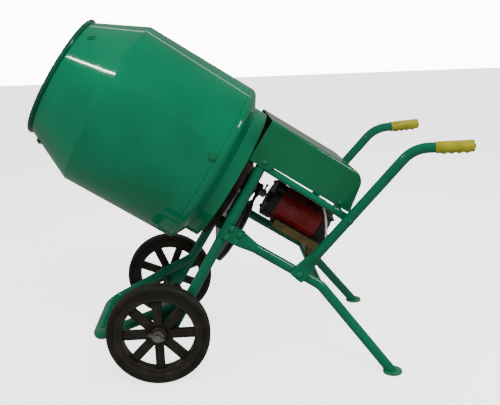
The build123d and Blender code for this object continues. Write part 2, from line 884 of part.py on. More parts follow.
# ------------------------------------------------------------------------------ frame
cross_tube_place = drum_point(leg_bend_s - 6, leg_line_n)
leg_plate_inner = upright_reach(leg_line_n - leg_plate_width / 2 - 4) + upright_radius
leg_plate_y = leg_plate_inner + leg_plate_thickness / 2
leg_bolt_places = [(697.0, -15.0), (697.0, 15.0), (728.0, -12.0), (728.0, 12.0)]


def upright(side):
    low = upright_at(upright_low_n, side)
    top = upright_at(upright_top_n, side)
    with BuildPart() as made:
        add(rod(low, top, upright_radius))
        with BuildSketch(lengthwise(side * (leg_plate_inner - gusset_thickness / 2))):
            with Locations((leg_plate_front + gusset_length / 2, leg_line_n)):
                Rectangle(gusset_length, leg_plate_width + 4)
        extrude(amount=gusset_thickness / 2, both=True)
        add(rod(low, top, upright_radius - tube_wall), mode=Mode.SUBTRACT)
        s, n = hood_bolt_front
        start = drum_point(s, n, side * (upright_top_y - 30))
        add(
            rod(start, start + sideways * side * 60, hood_bolt_radius + bolt_clearance),
            mode=Mode.SUBTRACT)
        add(leg_bolt_holes(side), mode=Mode.SUBTRACT)
    return made.part


def leg_bolt_holes(side):
    holes = []
    for s, n in leg_bolt_places:
        start = drum_point(s, leg_line_n + n, side * (leg_plate_inner - 60))
        end = start + sideways * side * 90
        holes.append(rod(start, end, frame_bolt_radius + bolt_clearance))
    return holes


handle_low = {side: axle_point(handle_low_x, side * handle_y, handle_low_z) for side in (-1, 1)}
handle_bend = {side: axle_point(handle_bend_x, side * handle_y, handle_bend_z) for side in (-1, 1)}
handle_end = {side: axle_point(handle_end_x, side * handle_end_y, handle_end_z) for side in (-1, 1)}
handle_way = (handle_bend[1] - handle_low[1]).normalized()
handle_plate_y = leg_y + leg_radius + handle_plate_thickness / 2
handle_bolt_drops = (24.0,)


def handle_cross(distance, side, y):
    """Plane across the straight of the handle: its x is to the right."""
    origin = handle_low[side] + handle_way * distance
    return Plane(origin=Vector(origin.X, side * y, origin.Z), x_dir=sideways, z_dir=handle_way)


def handle_holes(side):
    holes = []
    for drop in handle_bolt_drops:
        place = handle_low[side] - handle_way * drop
        start = Vector(place.X, side * (leg_y - 30), place.Z)
        end = Vector(place.X, side * (handle_y + 30), place.Z)
        holes.append(rod(start, end, frame_bolt_radius + bolt_clearance))
    rail_s, rail_y = rail_end_s, rail_plate_y
    start = drum_point(rail_s, rail_n, side * (rail_y - 10))
    end = drum_point(rail_s, rail_n, side * (handle_y + 30))
    holes.append(rod(start, end, hood_bolt_radius + bolt_clearance))
    return holes


def handle_s_at(n):
    """Where the straight of the handle crosses the height n."""
    offset = handle_low[1] - mouth
    s0, n0 = offset.dot(along), offset.dot(rise)
    return s0 + (n - n0) * handle_way.dot(along) / handle_way.dot(rise)


rail_plate_thickness = 5.0
rail_plate_length = 34.0
rail_taper = 30.0
rail_end_s = handle_s_at(rail_n)
rail_plate_y = handle_y - handle_radius - rail_plate_thickness / 2


def leg(side):
    taper_end = leg_plate_front + leg_plate_length
    tube_start = drum_point(taper_end + leg_taper, leg_line_n, side * leg_y)
    bend = drum_point(leg_bend_s, leg_line_n, side * leg_y)
    foot = axle_point(foot_x, side * foot_y, 0)
    with BuildPart() as made:
        with BuildLine() as route:
            FilletPolyline(tube_start, bend, foot, radius=leg_bend_radius)
        with BuildSketch(across(taper_end + leg_taper, leg_line_n, side * leg_y)):
            Circle(leg_radius)
            Circle(leg_radius - tube_wall, mode=Mode.SUBTRACT)
        sweep(path=route.wire())
        split(bisect_by=Plane.XY.offset(foot_thickness), keep=Keep.TOP)
        with BuildSketch(across(taper_end, leg_line_n, side * leg_plate_y)):
            RectangleRounded(leg_plate_thickness, leg_plate_width, 3)
        with BuildSketch(across(taper_end + leg_taper, leg_line_n, side * leg_y)):
            Circle(leg_radius)
        loft()
        with BuildSketch(lengthwise(side * leg_plate_y)):
            with Locations((leg_plate_front + leg_plate_length / 2, leg_line_n)):
                RectangleRounded(leg_plate_length, leg_plate_width, 5)
            with Locations((taper_end - 5, leg_line_n)):
                Rectangle(10, leg_plate_width - 4)
        extrude(amount=leg_plate_thickness / 2, both=True)
        add(leg_bolt_holes(side), mode=Mode.SUBTRACT)
        add(handle_holes(side)[:len(handle_bolt_drops)], mode=Mode.SUBTRACT)
    return made.part


def foot_disc(side):
    with BuildPart() as made:
        with BuildSketch(Plane(origin=axle_point(foot_x, side * foot_y, 0))):
            Circle(foot_radius)
        extrude(amount=foot_thickness)
        fillet(made.edges().group_by(Axis.Z)[-1], 2.5)
    return made.part


def handle(side):
    with BuildPart() as made:
        tube_start = handle_plate_above + handle_taper
        start_plane = handle_cross(tube_start, side, handle_y)
        with BuildLine() as route:
            FilletPolyline(
                start_plane.origin, handle_bend[side], handle_end[side],
                radius=handle_bend_radius)
        with BuildSketch(start_plane):
            Circle(handle_radius)
            Circle(handle_radius - tube_wall, mode=Mode.SUBTRACT)
        sweep(path=route.wire())
        with BuildSketch(handle_cross(handle_plate_above, side, handle_plate_y)):
            RectangleRounded(handle_plate_thickness, handle_plate_width, 3)
        with BuildSketch(start_plane):
            Circle(handle_radius)
        loft()
        plate = handle_cross(-handle_plate_below, side, handle_plate_y)
        face = Plane(origin=plate.origin, x_dir=handle_way, z_dir=-sideways)
        length = handle_plate_below + handle_plate_above
        with BuildSketch(face):
            with Locations((length / 2, 0)):
                RectangleRounded(length, handle_plate_width, 8)
            with Locations((length - 10, 0)):
                Rectangle(20, handle_plate_width - 4)
        extrude(amount=handle_plate_thickness / 2, both=True)
        add(handle_holes(side), mode=Mode.SUBTRACT)
    return made.part


def grip(side):
    end = handle_end[side]
    back = (handle_bend[side] - end).normalized()
    start = end + back * (grip_length - grip_cap)
    below = Vector(0, 0, -1)
    with BuildPart() as made:
        with BuildSketch(Plane(origin=start, z_dir=-back)):
            Circle(grip_radius)
        extrude(amount=grip_length)
        fillet(made.edges().filter_by(GeomType.CIRCLE), 2)
        with BuildSketch(Plane(origin=end - back * grip_cap, z_dir=-back)):
            Circle(grip_nub_radius)
        extrude(amount=grip_nub_height)
        for index in range(finger_count):
            centre = end + back * (16 + finger_pitch * index)
            centre += below * (grip_radius + finger_bulge - finger_radius)
            with Locations(centre):
                Sphere(finger_radius)
        with BuildSketch(Plane(origin=start, z_dir=-back)):
            Circle(handle_radius)
        extrude(amount=grip_length - grip_cap, mode=Mode.SUBTRACT)
    return made.part


def rail(side):
    front = upright_at(rail_n, side)
    rear = drum_point(rail_end_s, rail_n, side * rail_plate_y)
    way = (rear - front).normalized()
    half = rail_plate_length / 2
    taper_end = rear - way * (half + 4)
    tube_end = taper_end - way * rail_taper
    with BuildPart() as made:
        add(rod(front, tube_end, rail_radius))
        add(rod(front, tube_end, rail_radius - tube_wall), mode=Mode.SUBTRACT)
        low = upright_at(upright_low_n, side)
        add(rod(low, upright_at(upright_top_n, side), upright_radius), mode=Mode.SUBTRACT)
        with BuildSketch(Plane(origin=tube_end, x_dir=way.cross(rise), z_dir=way)):
            Circle(rail_radius)
        with BuildSketch(Plane(origin=taper_end, x_dir=sideways, z_dir=along)):
            RectangleRounded(rail_plate_thickness, 26, 2)
        loft()
        with BuildSketch(lengthwise(side * rail_plate_y)):
            with Locations((rail_end_s, rail_n)):
                RectangleRounded(rail_plate_length + 12, 26, 5)
        extrude(amount=rail_plate_thickness / 2, both=True)
        start = drum_point(rail_end_s, rail_n, side * (rail_plate_y - 10))
        add(
            rod(start, start + sideways * side * 20, hood_bolt_radius + bolt_clearance),
            mode=Mode.SUBTRACT)
    solids = made.part.solids().sort_by(SortBy.VOLUME)
    return solids[-1]


upright_parts, leg_parts, rail_parts = {}, {}, {}
for name, side in sides.items():
    upright_parts[side] = upright(side)
    leg_parts[side] = leg(side)
    rail_parts[side] = rail(side)
    save(upright_parts[side], f"{name}_upright")
    save(leg_parts[side], f"{name}_leg")
    save(rail_parts[side], f"{name}_rail")
    save(foot_disc(side), f"{name}_foot")
    save(handle(side), f"{name}_handle")
    save(grip(side), f"{name}_grip")

upright_bars = [
    rod(upright_at(upright_low_n, side), upright_at(upright_top_n, side), upright_radius)
    for side in sides.values()
]
with BuildPart() as nose_hoop:
    corners = [
        upright_at(hoop_joint_n, -1),
        axle_point(hoop_front_x, -hoop_half_width, hoop_front_z),
        axle_point(hoop_front_x, hoop_half_width, hoop_front_z),
        upright_at(hoop_joint_n, 1),
    ]
    with BuildLine() as route:
        FilletPolyline(*corners, radius=hoop_bend_radius)
    with BuildSketch(Plane(origin=corners[0], z_dir=corners[1] - corners[0])):
        Circle(hoop_radius)
        Circle(hoop_radius - tube_wall, mode=Mode.SUBTRACT)
    sweep(path=route.wire())
    add(upright_bars, mode=Mode.SUBTRACT)
hoop_solids = nose_hoop.part.solids().sort_by(SortBy.VOLUME)
hoop_solid = hoop_solids[-1]
save(hoop_solid, "nose_hoop")

hub_inner = wheel_track / 2 - wheel_hub_length / 2
hub_outer = wheel_track / 2 + wheel_hub_length / 2
axle_reach = hub_outer + washer_thickness + axle_overhang
pin_y = hub_outer + washer_thickness + 6.5
pin_way = Vector(
    math.cos(math.radians(split_pin_turn)), 0, -math.sin(math.radians(split_pin_turn)))
pin_holes = []
for side in sides.values():
    centre = axle_point(0, side * pin_y, wheel_radius)
    pin_holes.append(rod(centre - pin_way * 20, centre + pin_way * 20, split_pin_radius + 0.1))

with BuildPart() as axle:
    near_end = axle_point(0, -axle_reach, wheel_radius)
    far_end = axle_point(0, axle_reach, wheel_radius)
    add(rod(near_end, far_end, axle_radius))
    chamfer(axle.edges().filter_by(GeomType.CIRCLE), 1.5)
    add(pin_holes, mode=Mode.SUBTRACT)
save(axle.part, "axle")

with BuildPart() as axle_plates:
    plate_y = upright_reach(upright_low_n) - upright_radius - 2
    for side in sides.values():
        low = upright_at(upright_low_n, side)
        high = upright_at(upright_low_n + 92, side)
        with BuildSketch(Plane(origin=(0, side * plate_y, 0), x_dir=(1, 0, 0), z_dir=(0, -1, 0))):
            Polygon(
                (axle_x - 19, wheel_radius - 10), (axle_x - 19, wheel_radius + 12),
                (high.X - 20, high.Z), (high.X + 14, high.Z), (low.X + 12, low.Z + 4),
                (axle_x + 14, wheel_radius - 20), (axle_x - 8, wheel_radius - 20), align=None)
            with Locations((axle_x, wheel_radius)):
                Circle(axle_radius, mode=Mode.SUBTRACT)
        extrude(amount=axle_plate_thickness / 2, both=True)
    add(upright_bars, mode=Mode.SUBTRACT)
    hoop_fill = [
        rod(corners[0], corners[1], hoop_radius), rod(corners[3], corners[2], hoop_radius)]
    add(hoop_fill, mode=Mode.SUBTRACT)
save(axle_plates.part, "axle_plates")

with BuildPart() as rear_cross_tube:
    reach = leg_y
    place = cross_tube_place
    near = Vector(place.X, -reach, place.Z)
    far = Vector(place.X, reach, place.Z)
    add(rod(near, far, cross_tube_radius, cross_tube_radius - tube_wall))
    leg_bars = []
    for side in sides.values():
        bar_start = drum_point(leg_bend_s - 130, leg_line_n, side * leg_y)
        bar_end = drum_point(leg_bend_s + 60, leg_line_n, side * leg_y)
        leg_bars.append(rod(bar_start, bar_end, leg_radius))
    add(leg_bars, mode=Mode.SUBTRACT)
    add([leg_parts[side] for side in sides.values()], mode=Mode.SUBTRACT)
tube_solid = rear_cross_tube.part.solids().sort_by(SortBy.VOLUME)[-1]
save(tube_solid, "rear_cross_tube")

with BuildPart() as tray_brackets:
    for y in (-bracket_y, bracket_y):
        with BuildSketch(lengthwise(y)):
            Polygon(
                (tray_end - bracket_width, floor), (tray_end, floor),
                (leg_bend_s, leg_line_n + 8), (leg_bend_s - 14, leg_line_n), align=None)
        extrude(amount=bracket_thickness / 2, both=True)
    add(rod(near, far, cross_tube_radius), mode=Mode.SUBTRACT)
save(tray_brackets.part, "tray_brackets")

with BuildPart() as frame_bolts:
    for side in sides.values():
        outer = leg_plate_inner + leg_plate_thickness
        for s, n in leg_bolt_places:
            through_tube = s < upright_top_s + upright_radius + frame_bolt_radius
            depth = leg_plate_thickness + gusset_thickness
            place = drum_point(s, leg_line_n + n, side * outer)
            inward = sideways * -side
            add(bolt(place, inward, depth, frame_bolt_radius, domed=True, nut=not through_tube))
        for drop in handle_bolt_drops:
            middle = handle_low[side] - handle_way * drop
            outer = handle_plate_y + handle_plate_thickness / 2
            place = Vector(middle.X, side * outer, middle.Z)
            depth = outer - (leg_y - leg_radius)
            add(bolt(place, sideways * -side, depth, frame_bolt_radius, domed=True))
        outer = handle_y + handle_radius
        depth = outer - (rail_plate_y - rail_plate_thickness / 2)
        place = drum_point(rail_end_s, rail_n, side * outer)
        add(bolt(place, sideways * -side, depth, hood_bolt_radius, domed=True))
    for s in foot_places:
        for y in (-foot_bolt_y, foot_bolt_y):
            place = drum_point(s, floor, y)
            with BuildSketch(Plane(origin=place, z_dir=-rise)):
                RegularPolygon(1.75 * foot_bolt_radius, 6)
            extrude(amount=1.3 * foot_bolt_radius)
            with BuildSketch(Plane(origin=place, z_dir=rise)):
                Circle(foot_bolt_radius)
            extrude(amount=tray_thickness + foot_bolt_depth - 1)
    add([upright_parts[side] for side in sides.values()], mode=Mode.SUBTRACT)
save(frame_bolts.part, "frame_bolts")

# ------------------------------------------------------------------------------- hood


def hood_block(inset, open_by):
    """The hood as a solid block, set in by the sheet and run past its open sides."""
    top = hood_top_n - inset
    half = hood_half_width - inset
    rear_way = math.hypot(hood_rear_low - hood_rear_top, hood_top_n - hood_low_rear)
    shift = inset * rear_way / (hood_top_n - hood_low_rear)
    lean = (hood_rear_low - hood_rear_top) / (hood_top_n - hood_low_rear)
    rear_top = hood_rear_top - shift + inset * lean
    rear_low = hood_rear_low - shift + open_by * lean
    front = hood_front - open_by
    with BuildPart() as made:
        with BuildSketch(lengthwise()):
            Polygon(
                (front, top), (front, hood_low_front - open_by),
                (hood_step_start, hood_low_front - open_by),
                (hood_step_end, hood_low_rear - open_by),
                (rear_low, hood_low_rear - open_by), (rear_top, top), align=None)
        extrude(amount=half, both=True)
        long_edges = made.edges().filter_by(
            lambda edge: abs((edge @ 0.5 - mouth).dot(rise) - top) < 0.01
            and abs(abs((edge @ 0.5).Y) - half) < 0.01)
        rear_edge = made.edges().filter_by(
            lambda edge: abs((edge @ 0.5 - mouth).dot(rise) - top) < 0.01
            and abs((edge @ 0.5 - mouth).dot(along) - rear_top) < 0.01)
        fillet(rear_edge, hood_rear_radius - inset)
        top_edges = made.edges().filter_by(
            lambda edge: abs(abs((edge @ 0.5).Y) - half) < 0.01
            and (edge @ 0.5 - mouth).dot(rise) > hood_low_rear + 60
            and (edge @ 0.5 - mouth).dot(along) > hood_front + 60)
        fillet(top_edges, hood_fold_radius - inset)
    return made.part


with BuildPart() as hood:
    add(hood_block(0.0, 0.0))
    add(hood_block(hood_sheet, 40.0), mode=Mode.SUBTRACT)
    for s, n in (hood_bolt_front, hood_bolt_rear):
        with BuildSketch(lengthwise()):
            with Locations((s, n)):
                Circle(hood_bolt_radius + bolt_clearance)
        extrude(amount=hood_half_width + 5, both=True, mode=Mode.SUBTRACT)
    for side in sides.values():      # a notch where a thicker upright comes through the side
        low, high = upright_at(upright_low_n, side), upright_at(upright_top_n, side)
        add(rod(low, high, upright_radius + hood_upright_gap), mode=Mode.SUBTRACT)
save(hood.part, "hood")

bracket_inner = hood_half_width - hood_sheet
with BuildPart() as hood_brackets:
    rail_top = rail_n + rail_radius
    share = (hood_bolt_rear[0] - upright_top_s) / (rail_end_s - upright_top_s)
    reach = upright_reach(rail_n) + share * (rail_plate_y - upright_reach(rail_n))
    for side in sides.values():
        with BuildSketch(across(hood_bolt_rear[0] - 13)):
            Polygon(
                (side * bracket_inner, hood_bolt_rear[1] + 13),
                (side * bracket_inner, rail_top + 2),
                (side * reach, rail_top + 2), (side * reach, rail_n + 4),
                (side * (bracket_inner - 2), rail_n + 4),
                (side * (bracket_inner - 2), hood_bolt_rear[1] + 13), align=None)
        extrude(amount=26)
        front = upright_at(rail_n, side)
        rear = drum_point(rail_end_s, rail_n, side * rail_plate_y)
        add(rod(front, rear, rail_radius), mode=Mode.SUBTRACT)
        add(rail_parts[side], mode=Mode.SUBTRACT)
    with BuildSketch(lengthwise()):
        with Locations(hood_bolt_rear):
            Circle(hood_bolt_radius + bolt_clearance)
    extrude(amount=hood_half_width, both=True, mode=Mode.SUBTRACT)
save(hood_brackets.part, "hood_brackets")

with BuildPart() as hood_bolts:
    for side in sides.values():
        s, n = hood_bolt_front
        place = drum_point(s, n, side * hood_half_width)
        depth = hood_half_width - (upright_reach(n) - upright_radius)
        add(bolt(place, sideways * -side, depth, hood_bolt_radius, domed=True))
        s, n = hood_bolt_rear
        place = drum_point(s, n, side * hood_half_width)
        add(bolt(place, sideways * -side, hood_sheet + 2, hood_bolt_radius, domed=True))
    add([upright_parts[side] for side in sides.values()], mode=Mode.SUBTRACT)
save(hood_bolts.part, "hood_bolts")

# ---------------------------------------------------------------------- switch and lead
box_front = tray_end + tray_thickness
with BuildPart() as switch_box:
    middle_n = (box_top + box_low) / 2
    with BuildSketch(across(box_front, middle_n)):
        RectangleRounded(2 * box_half_width, box_top - box_low, 6)
    extrude(amount=box_length)
    with BuildSketch(across(box_front + 2.5, middle_n)):
        RectangleRounded(2 * box_half_width - 5, box_top - box_low - 5, 4)
    extrude(amount=box_length - 5, mode=Mode.SUBTRACT)
    for y in (-button_y, button_y):
        with BuildSketch(across(box_front + box_length - 3, middle_n, y)):
            Circle(button_radius + button_fit)
        extrude(amount=6, mode=Mode.SUBTRACT)
save(switch_box.part, "switch_box")

button_start = box_front + box_length + button_proud - button_length
for name, y in (("start_button", -button_y), ("stop_button", button_y)):
    with BuildPart() as button:
        with BuildSketch(across(button_start, middle_n, y)):
            Circle(button_radius)
        extrude(amount=button_length)
        fillet(button.faces().sort_by(Axis(mouth, along))[-1].edges(), 1.5)
    save(button.part, name)

with BuildPart() as terminal_box:
    with BuildSketch(across(terminal_start)):
        with Locations((0, terminal_top / 2)):
            Rectangle(2 * terminal_half_width, terminal_top)
    extrude(amount=terminal_length)
    upper = terminal_box.faces().sort_by(Axis(mouth, rise))[-1]
    fillet(upper.edges(), 4)
    with BuildSketch(across(terminal_start - 1)):
        Circle(motor_radius)
    extrude(amount=terminal_length + 2, mode=Mode.SUBTRACT)
save(terminal_box.part, "terminal_box")

gland_s = terminal_start + terminal_length / 2
gland_start = drum_point(gland_s, gland_n, -terminal_half_width)
gland_end = gland_start - sideways * gland_length
box_gland_s = box_front + box_length / 2
box_gland_start = drum_point(box_gland_s, middle_n, -box_half_width)
box_gland_end = box_gland_start - sideways * gland_length
lead_route = [
    gland_end + sideways * lead_seat,
    drum_point(953, 66, -100),
    drum_point(985, 18, -112),
    drum_point(1018, -38, -101),
    box_gland_end + sideways * lead_seat,
]


def gland(start, end, radius, bore):
    way = end - start
    with BuildPart() as made:
        with BuildSketch(Plane(origin=start, z_dir=way)):
            RegularPolygon(radius, 6)
        extrude(amount=way.length)
        chamfer(made.faces().sort_by(Axis(start, way))[-1].edges(), 1.5)
        with BuildSketch(Plane(origin=start, z_dir=way)):
            Circle(bore)
        extrude(amount=way.length, mode=Mode.SUBTRACT)
    return made.part


with BuildPart() as cable_glands:
    add(gland(gland_start, gland_end, gland_radius, lead_radius + lead_fit))
    add(gland(box_gland_start, box_gland_end, gland_radius, lead_radius + lead_fit))
    mains_start = box_gland_start + sideways * 2 * box_half_width
    mains_end = mains_start + sideways * gland_length
    add(gland(mains_start, mains_end, gland_radius + 1.5, lead_radius + 1))
save(cable_glands.part, "cable_glands")

with BuildPart() as motor_lead:
    with BuildLine() as route:
        reached = lead_route[0]
        for before, corner, after in zip(lead_route, lead_route[1:], lead_route[2:]):
            way_in, way_out = (corner - before).normalized(), (after - corner).normalized()
            reach = 0.45 * min((corner - before).length, (after - corner).length)
            turn = math.acos(way_in.dot(way_out))
            print("lead bend radius", round(reach / math.tan(turn / 2), 1))
            Line(reached, corner - way_in * reach)
            TangentArc(corner - way_in * reach, corner + way_out * reach, tangent=way_in)
            reached = corner + way_out * reach
        Line(reached, lead_route[-1])
    with BuildSketch(Plane(origin=lead_route[0], z_dir=lead_route[1] - lead_route[0])):
        Circle(lead_radius)
    sweep(path=route.wire())
print("lead", round(route.wire().length, 1), round(
    motor_lead.part.volume / (math.pi * lead_radius**2 * route.wire().length), 4))
save(motor_lead.part, "motor_lead")

# ------------------------------------------------------------------------------ wheels
rim_radius = wheel_radius - tyre_thickness
spoke_reach = rim_radius - rim_depth


def wheel(side):
    middle = axle_point(0, side * wheel_track / 2, wheel_radius)
    face = Plane(origin=middle, x_dir=(1, 0, 0), z_dir=(0, side, 0))
    outer_face = Plane(
        origin=middle + sideways * side * spoke_thickness / 2,
        x_dir=(1, 0, 0), z_dir=(0, side, 0))
    with BuildPart() as made:
        with BuildSketch(face):
            Circle(rim_radius)
            Circle(spoke_reach, mode=Mode.SUBTRACT)
        extrude(amount=wheel_width / 2, both=True)
        with BuildSketch(face):
            Circle(wheel_hub_radius)
        extrude(amount=wheel_hub_length / 2, both=True)
        with BuildSketch(face):
            with PolarLocations((spoke_reach + 2) / 2, spoke_count):
                Rectangle(spoke_reach + 2, spoke_width)
        extrude(amount=spoke_thickness / 2, both=True)
        with BuildSketch(outer_face):
            with PolarLocations((spoke_reach + 2) / 2, spoke_count):
                Rectangle(spoke_reach + 2, spoke_rib_width)
        extrude(amount=spoke_rib_height)
        with BuildSketch(face):
            Circle(axle_radius + wheel_running_fit)
        extrude(amount=wheel_hub_length, both=True, mode=Mode.SUBTRACT)
    return made.part


def tyre(side):
    middle = axle_point(0, side * wheel_track / 2, wheel_radius)
    face = Plane(origin=middle, x_dir=(1, 0, 0), z_dir=(0, side, 0))
    with BuildPart() as made:
        with BuildSketch(face):
            Circle(wheel_radius)
            Circle(rim_radius, mode=Mode.SUBTRACT)
        extrude(amount=tyre_width / 2, both=True)
        tread = made.faces().filter_by(GeomType.CYLINDER).sort_by(SortBy.AREA)[-1]
        fillet(tread.edges().filter_by(GeomType.CIRCLE), tyre_shoulder)
    return made.part


for name, side in sides.items():
    save(wheel(side), f"{name}_wheel")
    save(tyre(side), f"{name}_tyre")

plate_outer = plate_y + axle_plate_thickness / 2
with BuildPart() as wheel_spacers:
    for side in sides.values():
        start = axle_point(0, side * plate_outer, wheel_radius)
        end = axle_point(0, side * (hub_inner - joint_gap), wheel_radius)
        add(rod(start, end, spacer_radius, axle_radius))
save(wheel_spacers.part, "wheel_spacers")

with BuildPart() as wheel_washers:
    for side in sides.values():
        start = axle_point(0, side * (hub_outer + joint_gap), wheel_radius)
        end = axle_point(0, side * (hub_outer + joint_gap + washer_thickness), wheel_radius)
        add(rod(start, end, washer_radius, axle_radius))
save(wheel_washers.part, "wheel_washers")

with BuildPart() as split_pins:
    for side in sides.values():
        centre = axle_point(0, side * pin_y, wheel_radius)
        half = split_pin_length / 2
        add(rod(centre - pin_way * half, centre + pin_way * half, split_pin_radius))
        eye = centre - pin_way * (half + 3)
        with BuildSketch(Plane(origin=eye, x_dir=(1, 0, 0), z_dir=(0, 1, 0))):
            Circle(5.5)
            Circle(2.5, mode=Mode.SUBTRACT)
        extrude(amount=0.8 * split_pin_radius, both=True)
save(split_pins.part, "split_pins")
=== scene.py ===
# %% [markdown]
# # A barrow concrete mixer
#
# The frame already holds every rigid piece at its real size. This script gives
# the pieces their finishes, replaces the ones whose surface needs more than a
# plain solid (the tyres, the wheels and the motor's lead), and sets the stage.

# %% Load the frame
import json
import math

import bpy
from mathutils import Matrix, Vector


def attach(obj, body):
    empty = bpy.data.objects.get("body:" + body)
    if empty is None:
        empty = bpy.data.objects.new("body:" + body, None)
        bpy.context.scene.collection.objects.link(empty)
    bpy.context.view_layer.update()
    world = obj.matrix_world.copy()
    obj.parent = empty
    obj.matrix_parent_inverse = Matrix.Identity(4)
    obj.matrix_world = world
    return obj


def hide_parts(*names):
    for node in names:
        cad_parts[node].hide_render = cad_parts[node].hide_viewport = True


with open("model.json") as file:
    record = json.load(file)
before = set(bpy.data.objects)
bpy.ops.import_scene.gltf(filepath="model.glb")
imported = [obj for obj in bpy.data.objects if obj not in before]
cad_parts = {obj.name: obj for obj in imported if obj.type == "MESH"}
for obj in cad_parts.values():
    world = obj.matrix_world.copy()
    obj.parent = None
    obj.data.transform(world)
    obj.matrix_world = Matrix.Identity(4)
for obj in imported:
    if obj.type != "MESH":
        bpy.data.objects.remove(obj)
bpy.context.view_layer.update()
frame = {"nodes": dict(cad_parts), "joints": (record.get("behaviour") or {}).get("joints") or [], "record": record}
nodes = frame["nodes"]
joints = {joint["name"]: joint for joint in frame["joints"]}

# %% [markdown]
# ## Directions on the machine
#
# The drum leans back, so the motor's lead is placed along its axis and square to
# it. The axis could be typed in as an angle, but it is read from the drum's joint,
# so that it can't differ from the frame's.

# %% Directions and small helpers
MM = 0.001
ALONG = Vector(joints["drum_spin"]["axis"]).normalized()
ACROSS = Vector((0, 1, 0))
RISE = ALONG.cross(ACROSS).normalized()
if RISE.z < 0:
    RISE = -RISE


def linear(hex_colour):
    """The linear colour of an sRGB hex value such as "1b7a50"."""
    channels = [int(hex_colour[i:i + 2], 16) / 255 for i in (0, 2, 4)]
    curve = [c / 12.92 if c <= 0.04045 else ((c + 0.055) / 1.055) ** 2.4 for c in channels]
    return (*curve, 1.0)


def deselect():
    if bpy.context.object and bpy.context.object.mode != "OBJECT":
        bpy.ops.object.mode_set(mode="OBJECT")
    bpy.ops.object.select_all(action="DESELECT")


deselect()
print("the drum leans", round(math.degrees(math.atan2(-ALONG.z, ALONG.x)), 2), "degrees")

# %% [markdown]
# ## The camera
#
# The camera stands on the machine's left, a little over two metres from its
# middle and a metre above the ground, and looks slightly down. It is placed
# first, because every later choice is judged through it.

# %% Place the camera
CAMERA_PLACE = Vector((-0.0684, -2.2004, 1.0164))
CAMERA_YAW = math.radians(2.52)
CAMERA_PITCH = math.radians(13.3)
CAMERA_ROLL = -0.03556
LENS = 47.98
NEAREST = 0.05

forward = Vector((
    math.sin(CAMERA_YAW) * math.cos(CAMERA_PITCH),
    math.cos(CAMERA_YAW) * math.cos(CAMERA_PITCH),
    -math.sin(CAMERA_PITCH),
))
level_right = Vector((math.cos(CAMERA_YAW), -math.sin(CAMERA_YAW), 0))
level_up = level_right.cross(forward)
camera_right = level_right * math.cos(CAMERA_ROLL) + level_up * math.sin(CAMERA_ROLL)
camera_up = camera_right.cross(forward)

bpy.ops.object.camera_add()
camera = bpy.context.object
camera.name = "camera"
camera.data.lens = LENS
camera.data.clip_start = NEAREST
camera.matrix_world = Matrix((
    (camera_right.x, camera_up.x, -forward.x, CAMERA_PLACE.x),
    (camera_right.y, camera_up.y, -forward.y, CAMERA_PLACE.y),
    (camera_right.z, camera_up.z, -forward.z, CAMERA_PLACE.z),
    (0, 0, 0, 1),
))
bpy.context.scene.camera = camera
print("camera", camera.name, "lens", LENS)

# %% [markdown]
# ## The motor's lead
#
# A short white lead runs from the motor's terminal box to the switch box. It
# hangs freely between two glands. It could be a swept tube, but a smooth NURBS
# line with a round bevel keeps the slack of a real cable. Its control points are
# the route that the frame's own tube follows. The curve's bounds count the radius
# of each point, so the points carry the real radius and the bevel is one.

# %% Lay the lead
LEAD_RADIUS = 3.5 * MM
DRUM_MOUTH = Vector((-0.564, 0, 0.9425))


def drum_point(s, n, y=0.0):
    """A point s mm along the drum from its mouth, n above the axis, y to the right."""
    return DRUM_MOUTH + ALONG * s * MM + RISE * n * MM + ACROSS * y * MM


lead_route = [
    drum_point(949, 72, -39),
    drum_point(953, 66, -100),
    drum_point(985, 18, -112),
    drum_point(1018, -38, -101),
    drum_point(1028, -41, -42),
]
lead_curve = bpy.data.curves.new("lead", "CURVE")
lead_curve.dimensions = "3D"
lead_curve.bevel_depth = 1.0
lead_curve.bevel_resolution = 5
lead_curve.resolution_u = 16
lead_curve.use_fill_caps = True
spline = lead_curve.splines.new("NURBS")
spline.points.add(len(lead_route) - 1)
for point, place in zip(spline.points, lead_route):
    point.co = (*place, 1)
    point.radius = LEAD_RADIUS
spline.order_u = 3
spline.use_endpoint_u = True
lead = bpy.data.objects.new("lead", lead_curve)
bpy.context.collection.objects.link(lead)
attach(lead, "frame")
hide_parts("motor_lead")
new_pieces = [(lead, "lead_white")]
print("lead points", len(lead_route))

# %% [markdown]
# ## Turned pieces
#
# Tyres, rims and hubs are round about an axle. Such a piece can be cut from a
# cylinder loop by loop, or its half section can be drawn and turned. Turning is
# chosen, because grooves, lips and round shoulders are then just points of one
# line: a single vertex is extruded from point to point and the line is spun.

# %% A helper that turns a section
CLOSE_ENOUGH = 0.01 * MM
START_SIZE = 1.0 * MM


def turned(name, section, centre, axis, steps):
    """Turns a section of (radius, along) points in mm about an axis through centre."""
    outward = Vector((0, 0, 1))
    places = [centre + axis * along * MM + outward * radius * MM for radius, along in section]
    deselect()
    bpy.ops.mesh.primitive_plane_add(size=START_SIZE, location=places[0])
    piece = bpy.context.object
    piece.name = name
    bpy.ops.object.transform_apply(location=True, rotation=True, scale=True)
    bpy.ops.object.mode_set(mode="EDIT")
    bpy.ops.mesh.select_all(action="SELECT")
    bpy.ops.mesh.merge(type="CENTER")
    for start, end in zip(places, places[1:]):
        bpy.ops.mesh.extrude_region_move(TRANSFORM_OT_translate={"value": end - start})
    bpy.ops.mesh.select_all(action="SELECT")
    bpy.ops.mesh.spin(steps=steps, angle=math.tau, center=centre, axis=axis)
    bpy.ops.mesh.select_all(action="SELECT")
    bpy.ops.mesh.remove_doubles(threshold=CLOSE_ENOUGH)
    bpy.ops.mesh.normals_make_consistent(inside=False)
    bpy.ops.object.mode_set(mode="OBJECT")
    return piece


